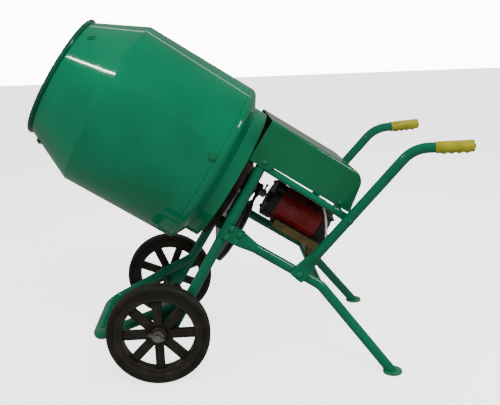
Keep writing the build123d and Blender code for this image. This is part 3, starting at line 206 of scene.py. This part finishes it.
def both_sides(half):
    """A closed section from its half on the outer side, mirrored across the middle."""
    whole = half + [(radius, -along) for radius, along in reversed(half)]
    return whole + [whole[0]]


print("points merge within", CLOSE_ENOUGH, "m")

# %% [markdown]
# ## Tyres
#
# Each tyre is a solid rubber band, 160 mm in radius, pressed on the wheel. Its
# shoulders are round, two thin rings are moulded into each side wall, and two
# shallow grooves run round the tread, which the plain band of the frame lacks.
# A bump pattern could fake the rings, but turned ones also show on the outline.

# %% Turn the tyres
TYRE_OUTER, TYRE_INNER, TYRE_HALF = 160.0, 139.0, 22.0
BEAD_DROP, BEAD_RUN = 2.0, 1.5
SHOULDER, SHOULDER_STEPS = 8.0, 6
RINGS_AT, RING_DEPTH = (143.5, 147.5), 1.0
RING_HALF_TOP, RING_HALF_FLOOR = 0.9, 0.4
GROOVE_DEPTH, GROOVE_SLOPE = 1.6, 0.8
GROOVE_OUTER, GROOVE_INNER = 8.0, 4.4
ROUND_STEPS = 128
TYRE_SMOOTH = math.radians(40)

side_wall = [(TYRE_INNER, TYRE_HALF - BEAD_DROP), (TYRE_INNER + BEAD_RUN, TYRE_HALF)]
for ring_at in RINGS_AT:
    side_wall += [
        (ring_at - RING_HALF_TOP, TYRE_HALF),
        (ring_at - RING_HALF_FLOOR, TYRE_HALF - RING_DEPTH),
        (ring_at + RING_HALF_FLOOR, TYRE_HALF - RING_DEPTH),
        (ring_at + RING_HALF_TOP, TYRE_HALF)]
for step in range(SHOULDER_STEPS + 1):
    turn = math.pi / 2 * step / SHOULDER_STEPS
    side_wall.append((
        TYRE_OUTER - SHOULDER + SHOULDER * math.sin(turn),
        TYRE_HALF - SHOULDER + SHOULDER * math.cos(turn)))
tread = [
    (TYRE_OUTER, GROOVE_OUTER), (TYRE_OUTER - GROOVE_DEPTH, GROOVE_OUTER - GROOVE_SLOPE),
    (TYRE_OUTER - GROOVE_DEPTH, GROOVE_INNER + GROOVE_SLOPE), (TYRE_OUTER, GROOVE_INNER)]
tyre_section = both_sides(side_wall + tread)

WHEEL_OUT = 279.0 * MM      # from the machine's middle to each wheel's middle plane
outer_side = {"left": -ACROSS, "right": ACROSS}
wheel_centres = {}
for side, outer in outer_side.items():
    axle = Vector(joints[f"{side}_wheel_spin"]["pos_m"])
    centre = Vector((axle.x, outer.y * WHEEL_OUT, axle.z))
    wheel_centres[side] = centre
    tyre = turned(f"{side}_tyre_rubber", tyre_section, centre, outer, ROUND_STEPS)
    bpy.ops.object.shade_smooth_by_angle(angle=TYRE_SMOOTH)
    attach(tyre, f"{side}_road_wheel")
    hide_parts(f"{side}_tyre")
    new_pieces.append((tyre, "tyre_rubber"))
print("tyre faces", len(tyre.data.polygons))

# %% [markdown]
# ## Wheels
#
# A wheel is one plastic moulding: a rim with a raised lip at each edge, a hub,
# and eight ribbed spokes. Rim and hub are turned. One spoke is a box with a rib
# drawn up from its outer face; it is copied round the hub and all is joined, so
# that one bevel can round every moulded edge. The two wheels run free, so their
# spokes needn't line up, and the right one is turned by half a spoke.

# %% Shape one spoke
RIM_INNER, RIM_HALF = 112.0, 20.0
INNER_LIP_END, WELL_START = 116.0, 117.5
WELL_END, OUTER_LIP_START = 129.0, 130.5
WELL_DEPTH = 2.5
RIM_EDGE, RIM_INNER_EDGE = 1.5, 2.0
HUB_RADIUS, HUB_HALF, HUB_EDGE = 27.0, 24.0, 2.0
BORE, BORE_EDGE, HUB_STEPS = 10.08, 1.0, 48      # the axle's 10 mm and a running gap
SPOKES, SPOKE_WIDTH, SPOKE_DEPTH = 8, 28.0, 20.0
SPOKE_START, SPOKE_END = 20.0, 116.0
RIB_EDGE, RIB_HEIGHT = 9.5, 4.0
FACES_ALIKE = 0.9

rim_section = both_sides([
    (RIM_INNER, RIM_HALF - RIM_INNER_EDGE), (RIM_INNER + RIM_EDGE, RIM_HALF),
    (INNER_LIP_END, RIM_HALF), (WELL_START, RIM_HALF - WELL_DEPTH),
    (WELL_END, RIM_HALF - WELL_DEPTH), (OUTER_LIP_START, RIM_HALF),
    (TYRE_INNER - RIM_EDGE, RIM_HALF), (TYRE_INNER, RIM_HALF - RIM_EDGE)])
hub_section = both_sides([
    (BORE, HUB_HALF - BORE_EDGE), (BORE + BORE_EDGE, HUB_HALF),
    (HUB_RADIUS - HUB_EDGE, HUB_HALF), (HUB_RADIUS, HUB_HALF - HUB_EDGE)])


def spoke(name, centre, outer):
    """A box from hub to rim, with a rib drawn up from its outer face."""
    reach = (SPOKE_START + SPOKE_END) / 2 * MM
    deselect()
    bpy.ops.mesh.primitive_cube_add(size=1, location=centre + Vector((reach, 0, 0)))
    piece = bpy.context.object
    piece.name = name
    piece.scale = ((SPOKE_END - SPOKE_START) * MM, SPOKE_DEPTH * MM, SPOKE_WIDTH * MM)
    bpy.ops.object.transform_apply(location=True, rotation=True, scale=True)
    bpy.ops.object.mode_set(mode="EDIT")
    bpy.ops.mesh.select_all(action="DESELECT")
    bpy.ops.object.mode_set(mode="OBJECT")
    for face in piece.data.polygons:
        face.select = face.normal.dot(outer) > FACES_ALIKE
    bpy.ops.object.mode_set(mode="EDIT")
    bpy.ops.mesh.select_mode(type="FACE")
    bpy.ops.mesh.inset(thickness=RIB_EDGE * MM, depth=0)
    bpy.ops.mesh.extrude_region_move(
        TRANSFORM_OT_translate={"value": outer * RIB_HEIGHT * MM})
    bpy.ops.mesh.select_mode(type="VERT")
    bpy.ops.object.mode_set(mode="OBJECT")
    return piece


print("rim points", len(rim_section), "hub points", len(hub_section))

# %% Turn the rims and hubs, copy the spokes and join each wheel
MOULD_EDGE, EDGE_SEGMENTS = 1.2, 2
EDGE_ANGLE = math.radians(50)
WHEEL_SMOOTH = math.radians(35)
half_spoke = math.pi / SPOKES
for side, centre in wheel_centres.items():
    outer = outer_side[side]
    parts = [
        turned(f"{side}_rim", rim_section, centre, outer, ROUND_STEPS),
        turned(f"{side}_hub", hub_section, centre, outer, HUB_STEPS)]
    first = spoke(f"{side}_spoke", centre, outer)
    start_turn = half_spoke if side == "right" else 0.0
    for index in range(SPOKES):
        copy = first.copy()
        copy.data = first.data.copy()
        bpy.context.collection.objects.link(copy)
        turn = Matrix.Rotation(start_turn + 2 * half_spoke * index, 4, "Y")
        copy.data.transform(Matrix.Translation(centre) @ turn @ Matrix.Translation(-centre))
        parts.append(copy)
    bpy.data.objects.remove(first)
    deselect()
    for part in parts:
        part.select_set(True)
    bpy.context.view_layer.objects.active = parts[0]
    bpy.ops.object.join()
    moulding = bpy.context.object
    moulding.name = f"{side}_wheel_moulding"
    edges = moulding.modifiers.new("moulded edges", "BEVEL")
    edges.width = MOULD_EDGE * MM
    edges.segments = EDGE_SEGMENTS
    edges.limit_method = "ANGLE"
    edges.angle_limit = EDGE_ANGLE
    bpy.ops.object.modifier_apply(modifier=edges.name)
    bpy.ops.object.shade_smooth_by_angle(angle=WHEEL_SMOOTH)
    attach(moulding, f"{side}_road_wheel")
    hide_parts(f"{side}_wheel")
    new_pieces.append((moulding, "wheel_plastic"))
print("wheel faces", len(moulding.data.polygons))

# %% [markdown]
# ## Building a material
#
# Every finish below starts from a Principled shader and a few procedural
# patterns on Object coordinates, which are in metres, so a pattern's scale is
# one over its real size. One helper adds a node with its settings and links.

# %% Helpers for materials
MIX_A, MIX_B, MIX_RESULT = 2, 3, 0                      # a Mix node's number sockets
MIX_COLOUR_A, MIX_COLOUR_B, MIX_COLOUR_RESULT = 6, 7, 2     # and its colour sockets
WORN_MATCH, CLEAN_MATCH = 0.86, 0.99


def add_node(tree, kind, links=None, **settings):
    """Adds a node; settings set its properties or sockets, links join its inputs."""
    node = tree.nodes.new(kind)
    for name, value in settings.items():
        if hasattr(node, name):
            setattr(node, name, value)
        else:
            node.inputs[name.replace("_", " ")].default_value = value
    for socket, source in (links or {}).items():
        tree.links.new(source, node.inputs[socket])
    return node


def new_material(name):
    """A material with a Principled shader joined to its output."""
    material = bpy.data.materials.new(name)
    material.use_nodes = True
    tree = material.node_tree
    shader = next(node for node in tree.nodes if node.type == "BSDF_PRINCIPLED")
    place = add_node(tree, "ShaderNodeTexCoord").outputs["Object"]
    return material, tree, shader, place


def noise(tree, place, size_mm, detail=3.0, roughness=0.5, stretch=None):
    """A noise pattern whose lumps are about size_mm wide."""
    if stretch:
        place = add_node(
            tree, "ShaderNodeMapping", {"Vector": place}, Scale=stretch).outputs["Vector"]
    return add_node(
        tree, "ShaderNodeTexNoise", {"Vector": place},
        Scale=1000 / size_mm, Detail=detail, Roughness=roughness).outputs["Fac"]


def ramp(tree, factor, stops):
    """A colour ramp from (position, hex) stops."""
    node = add_node(tree, "ShaderNodeValToRGB", {"Fac": factor})
    elements = node.color_ramp.elements
    while len(elements) < len(stops):
        elements.new(0.5)
    for element, (position, colour) in zip(elements, stops):
        element.position = position
        element.color = linear(colour)
    return node.outputs["Color"]


def spread(tree, factor, low, high, start=0.0, end=1.0):
    """Turns a factor between start and end into a value between low and high."""
    return add_node(
        tree, "ShaderNodeMapRange", {"Value": factor},
        From_Min=start, From_Max=end, To_Min=low, To_Max=high).outputs["Result"]


def mixed(tree, factor, colour, other_hex):
    """A colour that turns to other_hex where the factor nears 1."""
    node = add_node(
        tree, "ShaderNodeMix", {"Factor": factor, MIX_COLOUR_A: colour}, data_type="RGBA")
    node.inputs[MIX_COLOUR_B].default_value = linear(other_hex)
    return node.outputs[MIX_COLOUR_RESULT]


def bump(tree, shader, height, distance_mm, strength):
    """Raises the shader's surface by up to distance_mm, as the height says."""
    node = add_node(
        tree, "ShaderNodeBump", {"Height": height},
        Distance=distance_mm * MM, Strength=strength)
    tree.links.new(node.outputs["Normal"], shader.inputs["Normal"])


def edge_wear(tree, radius_mm=3.0):
    """0 on flats and towards 1 on outer edges, from the bevelled normal."""
    bevel = add_node(tree, "ShaderNodeBevel", Radius=radius_mm * MM)
    bevel.samples = 4
    geometry = add_node(tree, "ShaderNodeNewGeometry")
    match = add_node(
        tree, "ShaderNodeVectorMath",
        {0: bevel.outputs["Normal"], 1: geometry.outputs["Normal"]}, operation="DOT_PRODUCT")
    return spread(tree, match.outputs["Value"], 1.0, 0.0, WORN_MATCH, CLEAN_MATCH)


print("material helpers ready, edge wear from", WORN_MATCH, "to", CLEAN_MATCH)

# %% [markdown]
# ## Gloss enamel
#
# The drum, hood and tubes are steel sprayed with an alkyd enamel: a deep green
# that is glossy, with a fine orange-peel surface, broad shifts of tone where the
# coat is thicker, a little dust, and darker scuffs on its edges. The drum, the rim
# and the blades differ a little in tone and gloss. The hood and the tubes have
# the drum's green, but their coats are darker copies of it, painted shade, and
# the hood's is a little less glossy, so one function makes five coats. The
# shifts of tone are 260 mm wide, the dust 22 mm and the orange peel 3.5 mm.

# %% Make the enamels


def enamel(name, deep, body, light, gloss=0.07, peel_mm=3.5, dust=0.03):
    material, tree, shader, place = new_material(name)
    tone = noise(tree, place, 260, detail=2, roughness=0.5)
    colour = ramp(tree, tone, [(0.25, deep), (0.52, body), (0.80, light)])
    streaks = noise(tree, place, 22, detail=7, roughness=0.72)
    dusty = mixed(tree, spread(tree, streaks, 0.0, dust, 0.56, 0.80), colour, "7f9a86")
    scuffs = spread(tree, edge_wear(tree, 1.5), 0.0, 0.55, 0.55, 0.95)
    tree.links.new(mixed(tree, scuffs, dusty, "0a3a28"), shader.inputs["Base Color"])
    rough = spread(tree, streaks, gloss, gloss + 0.10, 0.50, 0.80)
    tree.links.new(rough, shader.inputs["Roughness"])
    peel = noise(tree, place, peel_mm, detail=2)
    bump(tree, shader, peel, 0.03, 0.25)
    shader.inputs["IOR"].default_value = 1.48
    return material


green_enamel = enamel("alkyd_enamel_green", "03583a", "046544", "05704d")
dark_enamel = enamel("alkyd_enamel_dark_green", "033824", "04452f", "055139", gloss=0.16)
# painted shade: the next two coats are darker copies of the drum's green, for the frame's tubes and plates and for
# the hood
frame_painted_shade_enamel = enamel("alkyd_enamel_frame_painted_shade", "024a31", "035c3f", "04694a")
hood_painted_shade_enamel = enamel("alkyd_enamel_hood_painted_shade", "074a2d", "0a5836", "0e653f", gloss=0.09)
blade_enamel = enamel("alkyd_enamel_worn", "04452c", "06543a", "0a6346", gloss=0.3, dust=0.3)
print("enamels", [coat.name for coat in (
    green_enamel, dark_enamel, frame_painted_shade_enamel, hood_painted_shade_enamel, blade_enamel)])

# %% [markdown]
# ## Cast iron and turned steel
#
# The ring gear is a raw iron casting, brown-black with grease and a sandy skin,
# and the pulleys are iron turned bright. Shafts are turned steel, and the bare
# bolts are zinc plated with a slightly yellow, cloudy shine. The bolts of the
# frame, hood and blades were sprayed with them. Sand and tool marks are finer
# than the 1.2 to 2.5 mm used here, and are drawn that coarse so that they show.

# %% Make the bare metals


def cast_iron(name, dark, light, roughness=0.55, grain_mm=2.5):
    material, tree, shader, place = new_material(name)
    patches = noise(tree, place, 45, detail=5, roughness=0.6)
    colour = ramp(tree, patches, [(0.32, dark), (0.72, light)])
    tree.links.new(colour, shader.inputs["Base Color"])
    shader.inputs["Metallic"].default_value = 0.55
    grain = noise(tree, place, grain_mm, detail=4, roughness=0.65)
    rough = spread(tree, grain, roughness - 0.12, roughness + 0.15, 0.3, 0.7)
    tree.links.new(rough, shader.inputs["Roughness"])
    bump(tree, shader, grain, 0.35, 0.6)
    return material


def plated(name, dark, light, roughness=0.28, metallic=1.0):
    material, tree, shader, place = new_material(name)
    cloud = noise(tree, place, 9, detail=5, roughness=0.6)
    colour = ramp(tree, cloud, [(0.30, dark), (0.70, light)])
    tree.links.new(colour, shader.inputs["Base Color"])
    shader.inputs["Metallic"].default_value = metallic
    rough = spread(tree, cloud, roughness, roughness + 0.2, 0.3, 0.7)
    tree.links.new(rough, shader.inputs["Roughness"])
    fine = noise(tree, place, 1.2, detail=2)
    bump(tree, shader, fine, 0.04, 0.5)
    return material


cast_gear = cast_iron("cast_iron_greased", "17100c", "3a2c22")
pulley_iron = cast_iron("turned_cast_iron", "4a4a49", "7d7b77", roughness=0.36, grain_mm=1.6)
turned_steel = plated("turned_steel", "8f8f8d", "c4c4c0", roughness=0.25)
zinc = plated("zinc_plate", "87867c", "c4c2b4", roughness=0.3)
painted_bolt = enamel("enamel_over_bolt", "0a4a31", "0f6342", "177350", gloss=0.2)
print("metals", [metal.name for metal in (
    cast_gear, pulley_iron, turned_steel, zinc, painted_bolt)])

# %% [markdown]
# ## The motor's paint and the tray
#
# The motor's body is dark red, its end bells and terminal box black, the tray
# a dull olive brown, and the foot discs are green, scuffed by the ground. Enamel
# could serve for these too, but they are thin coats on warm or rubbed metal, so
# they get a softer gloss and more dust. Shifts of tone are 60 mm wide.

# %% Make the satin paints


def satin(name, deep, body, light, roughness=0.42, dust_hex="6b6558", dust=0.25):
    material, tree, shader, place = new_material(name)
    tone = noise(tree, place, 60, detail=5, roughness=0.6)
    colour = ramp(tree, tone, [(0.30, deep), (0.5, body), (0.74, light)])
    specks = noise(tree, place, 11, detail=6, roughness=0.72)
    dusty = mixed(tree, spread(tree, specks, 0.0, dust, 0.50, 0.78), colour, dust_hex)
    tree.links.new(dusty, shader.inputs["Base Color"])
    rough = spread(tree, specks, roughness, roughness + 0.2, 0.4, 0.75)
    tree.links.new(rough, shader.inputs["Roughness"])
    skin = noise(tree, place, 2.2, detail=2)
    bump(tree, shader, skin, 0.08, 0.5)
    shader.inputs["IOR"].default_value = 1.5
    return material


motor_red = satin("satin_paint_dark_red", "560a0e", "780f16", "951c26", roughness=0.24)
motor_black = satin("satin_paint_black", "121212", "1c1c1d", "2b2a2a", dust=0.12)
tray_olive = satin("satin_paint_olive", "3d3416", "564921", "6b5d30", roughness=0.5)
foot_green = satin("scuffed_enamel_green", "0b4f34", "127049", "1d7f57", roughness=0.36, dust=0.5)
print("paints", [paint.name for paint in (motor_red, motor_black, tray_olive, foot_green)])

# %% [markdown]
# ## Plastics and rubber
#
# The wheels are moulded in brown-black plastic, the tyres are solid rubber, and
# the grips are a soft olive-yellow vinyl. The belt, lead, glands, fan, switch box
# and buttons are moulded too. Each could have its own nodes, but all share a fine
# skin and a broad, low sheen, so one function makes them, and rubber is only
# rougher and dustier. The skin is finer than 1.5 mm, and is drawn that coarse.

# %% Make the plastics


def moulded(name, deep, body, light, roughness=0.45, skin_mm=1.5, skin_depth=0.06, dust=0.0,
            dust_hex="7a7268", ior=1.5):
    material, tree, shader, place = new_material(name)
    tone = noise(tree, place, 35, detail=4, roughness=0.55)
    colour = ramp(tree, tone, [(0.32, deep), (0.52, body), (0.72, light)])
    specks = noise(tree, place, 8, detail=6, roughness=0.7)
    dusty = mixed(tree, spread(tree, specks, 0.0, dust, 0.48, 0.78), colour, dust_hex)
    tree.links.new(dusty, shader.inputs["Base Color"])
    rough = spread(tree, specks, roughness, roughness + 0.14, 0.35, 0.75)
    tree.links.new(rough, shader.inputs["Roughness"])
    skin = noise(tree, place, skin_mm, detail=2)
    bump(tree, shader, skin, skin_depth, 0.5)
    shader.inputs["IOR"].default_value = ior
    return material


wheel_plastic = moulded("moulded_polypropylene_brown_black", "15120b", "1e1a11", "2a2418",
                        roughness=0.40, dust=0.10, dust_hex="3c3626")
tyre_rubber = moulded("solid_rubber", "12100b", "1a1710", "252118", roughness=0.55,
                      skin_mm=2.0, skin_depth=0.12, dust=0.12, dust_hex="3c3626", ior=1.52)
grip_olive = moulded("soft_vinyl_olive", "7c790c", "948f14", "a69f1f", roughness=0.42,
                     dust=0.08, dust_hex="5d5a2a")
belt_rubber = moulded("fabric_faced_rubber", "121212", "1a1a1a", "262626", roughness=0.7)
lead_white = moulded("flexible_vinyl_white", "d8d2c6", "e8e3d8", "f2eee6", roughness=0.35)
gland_black = moulded("nylon_black", "0f0f10", "18181a", "232325", roughness=0.4)
switch_black = moulded("moulded_polycarbonate_black", "131315", "1d1d20", "2a2a2d")
button_green = moulded("moulded_button_green", "0f7a34", "159a45", "2bb05a", roughness=0.25)
button_red = moulded("moulded_button_red", "a31416", "c81c1e", "dc3430", roughness=0.25)
print("mouldings", [skin.name for skin in (
    wheel_plastic, tyre_rubber, grip_olive, belt_rubber, lead_white, gland_black,
    switch_black, button_green, button_red)])

# %% [markdown]
# ## Which piece gets which finish
#
# Every piece of the frame names a slot, and each slot has one finish here. The
# hood and the tubes share the drum's slot, but take darker copies of its coat,
# which are painted shade, so they are named one by one. The new pieces take the
# finish of the slot that they name.

# %% Give each slot of the frame its finish
finishes = {
    "green_enamel": green_enamel, "dark_green_enamel": dark_enamel,
    "blade_enamel": blade_enamel, "cast_gear": cast_gear, "turned_steel": turned_steel,
    "zinc_bolt": zinc, "dark_bolt": painted_bolt, "pulley_iron": pulley_iron,
    "motor_red": motor_red, "motor_black": motor_black, "tray_olive": tray_olive,
    "wheel_plastic": wheel_plastic, "tyre_rubber": tyre_rubber, "grip_olive": grip_olive,
    "foot_green": foot_green, "belt_rubber": belt_rubber, "lead_white": lead_white,
    "gland_black": gland_black, "switch_black": switch_black,
    "button_green": button_green, "button_red": button_red,
}
# painted shade: the hood and the frame's tubes and plates take the darker copies of the drum's green
painted_shade_coats = {"hood": hood_painted_shade_enamel}
for name in ("axle_plates", "nose_hoop", "rear_cross_tube"):
    painted_shade_coats[name] = frame_painted_shade_enamel
for side in outer_side:
    for tube in ("leg", "rail", "upright", "handle"):
        painted_shade_coats[f"{side}_{tube}"] = frame_painted_shade_enamel
for entry in frame["record"]["subparts"]:
    node = nodes[entry["node"]]
    finish = painted_shade_coats.get(entry["node"], finishes[entry["material_slot"]])
    if not node.material_slots:
        node.data.materials.append(finish)
    for material_slot in node.material_slots:
        material_slot.material = finish
for piece, slot in new_pieces:
    piece.data.materials.clear()
    piece.data.materials.append(finishes[slot])
print("finishes", len(finishes))

# %% [markdown]
# ## Floor and light
#
# The floor is a flat, near-white sheet under a white sky. A curved backdrop would
# hide the horizon from one side and block the view from another, so the sheet is
# flat, and its far edge stays faintly visible. Glossy enamel would turn milky if
# it mirrored so much white, so the floor is kept out of its reflections and its
# bounced light, and glows a little itself to stay pale. The
# sky is dimmer in reflections than it looks behind the machine. Three broad
# lights, in front, low on the left and behind, give the shading and aren't
# mirrored. Three smaller ones draw the highlights: a short bar on the cone,
# lines along the legs, and a faint line along the top of the drum.

# %% Build the stage
FLOOR_REACH = 20.0
FLOOR_GLOW = 2.2
SKY_ON_SHADE, SKY_IN_GLOSS, SKY_BEHIND = 0.62, 0.26, 12.0
deselect()
bpy.ops.mesh.primitive_plane_add(size=2 * FLOOR_REACH, location=(0, 0, 0))
floor = bpy.context.object
floor.name = "floor"
floor_paint, tree, shader, place = new_material("matt_floor_paint")
patches = noise(tree, place, 600, detail=3)
tree.links.new(
    ramp(tree, patches, [(0.35, "f4f4f3"), (0.65, "f7f7f6")]), shader.inputs["Base Color"])
shader.inputs["Roughness"].default_value = 0.8
shader.inputs["Specular IOR Level"].default_value = 0.2
shader.inputs["Emission Color"].default_value = linear("ffffff")
shader.inputs["Emission Strength"].default_value = FLOOR_GLOW
floor.data.materials.append(floor_paint)
floor.visible_glossy = False
floor.visible_diffuse = False

world = bpy.data.worlds.new("studio")
bpy.context.scene.world = world
world.use_nodes = True
sky = world.node_tree.nodes["Background"]
sky.inputs["Color"].default_value = linear("ffffff")
ray = add_node(world.node_tree, "ShaderNodeLightPath")
seen_in_gloss = add_node(
    world.node_tree, "ShaderNodeMix", {0: ray.outputs["Is Glossy Ray"]})
seen_in_gloss.inputs[MIX_A].default_value = SKY_ON_SHADE
seen_in_gloss.inputs[MIX_B].default_value = SKY_IN_GLOSS
sky_strength = add_node(
    world.node_tree, "ShaderNodeMix",
    {0: ray.outputs["Is Camera Ray"], MIX_A: seen_in_gloss.outputs[MIX_RESULT]})
sky_strength.inputs[MIX_B].default_value = SKY_BEHIND
world.node_tree.links.new(sky_strength.outputs[MIX_RESULT], sky.inputs["Strength"])
print("floor", FLOOR_REACH, "m each way, sky", SKY_BEHIND)

# %% Hang the lights


def soft_light(name, place, aim, size, power, lie=(1, 0, 0)):
    """A soft light, size long and wide, that points at aim with its length along lie."""
    deselect()
    bpy.ops.object.light_add(type="AREA", location=place)
    light = bpy.context.object
    light.name = name
    light.data.shape = "RECTANGLE"
    light.data.size, light.data.size_y = size
    light.data.energy = power
    back_way = (Vector(place) - Vector(aim)).normalized()
    length_way = (Vector(lie) - back_way * back_way.dot(Vector(lie))).normalized()
    width_way = back_way.cross(length_way)
    turn = Matrix((length_way, width_way, back_way)).transposed().to_4x4()
    light.matrix_world = Matrix.Translation(place) @ turn
    return light


key = soft_light("key", (0.3, -2.3, 3.0), (-0.2, 0, 0.5), (1.6, 1.2), 84)
fill = soft_light("fill", (-2.6, -2.0, 1.6), (0, 0, 0.5), (1.4, 1.6), 22)
back = soft_light("back", (0.4, 2.2, 3.0), (0, 0, 0.4), (2.5, 1.0), 45)
for light in (key, fill, back):
    light.visible_glossy = False
strip = soft_light(
    "strip", (-1.39, -0.82, 2.86), (-0.426, -0.219, 0.976), (0.34, 0.05), 8,
    lie=(0.27, -0.156, -0.018))
leg_light = soft_light("leg light", (2.6, -0.8, 2.4), (0.3, 0, 0.5), (0.9, 0.5), 26)
rear_strip = soft_light("rear strip", (0.3, 1.9, 2.6), (0, 0, 0.8), (2.2, 0.10), 2)
print("lights", [light.name for light in (key, fill, back, strip, leg_light, rear_strip)])
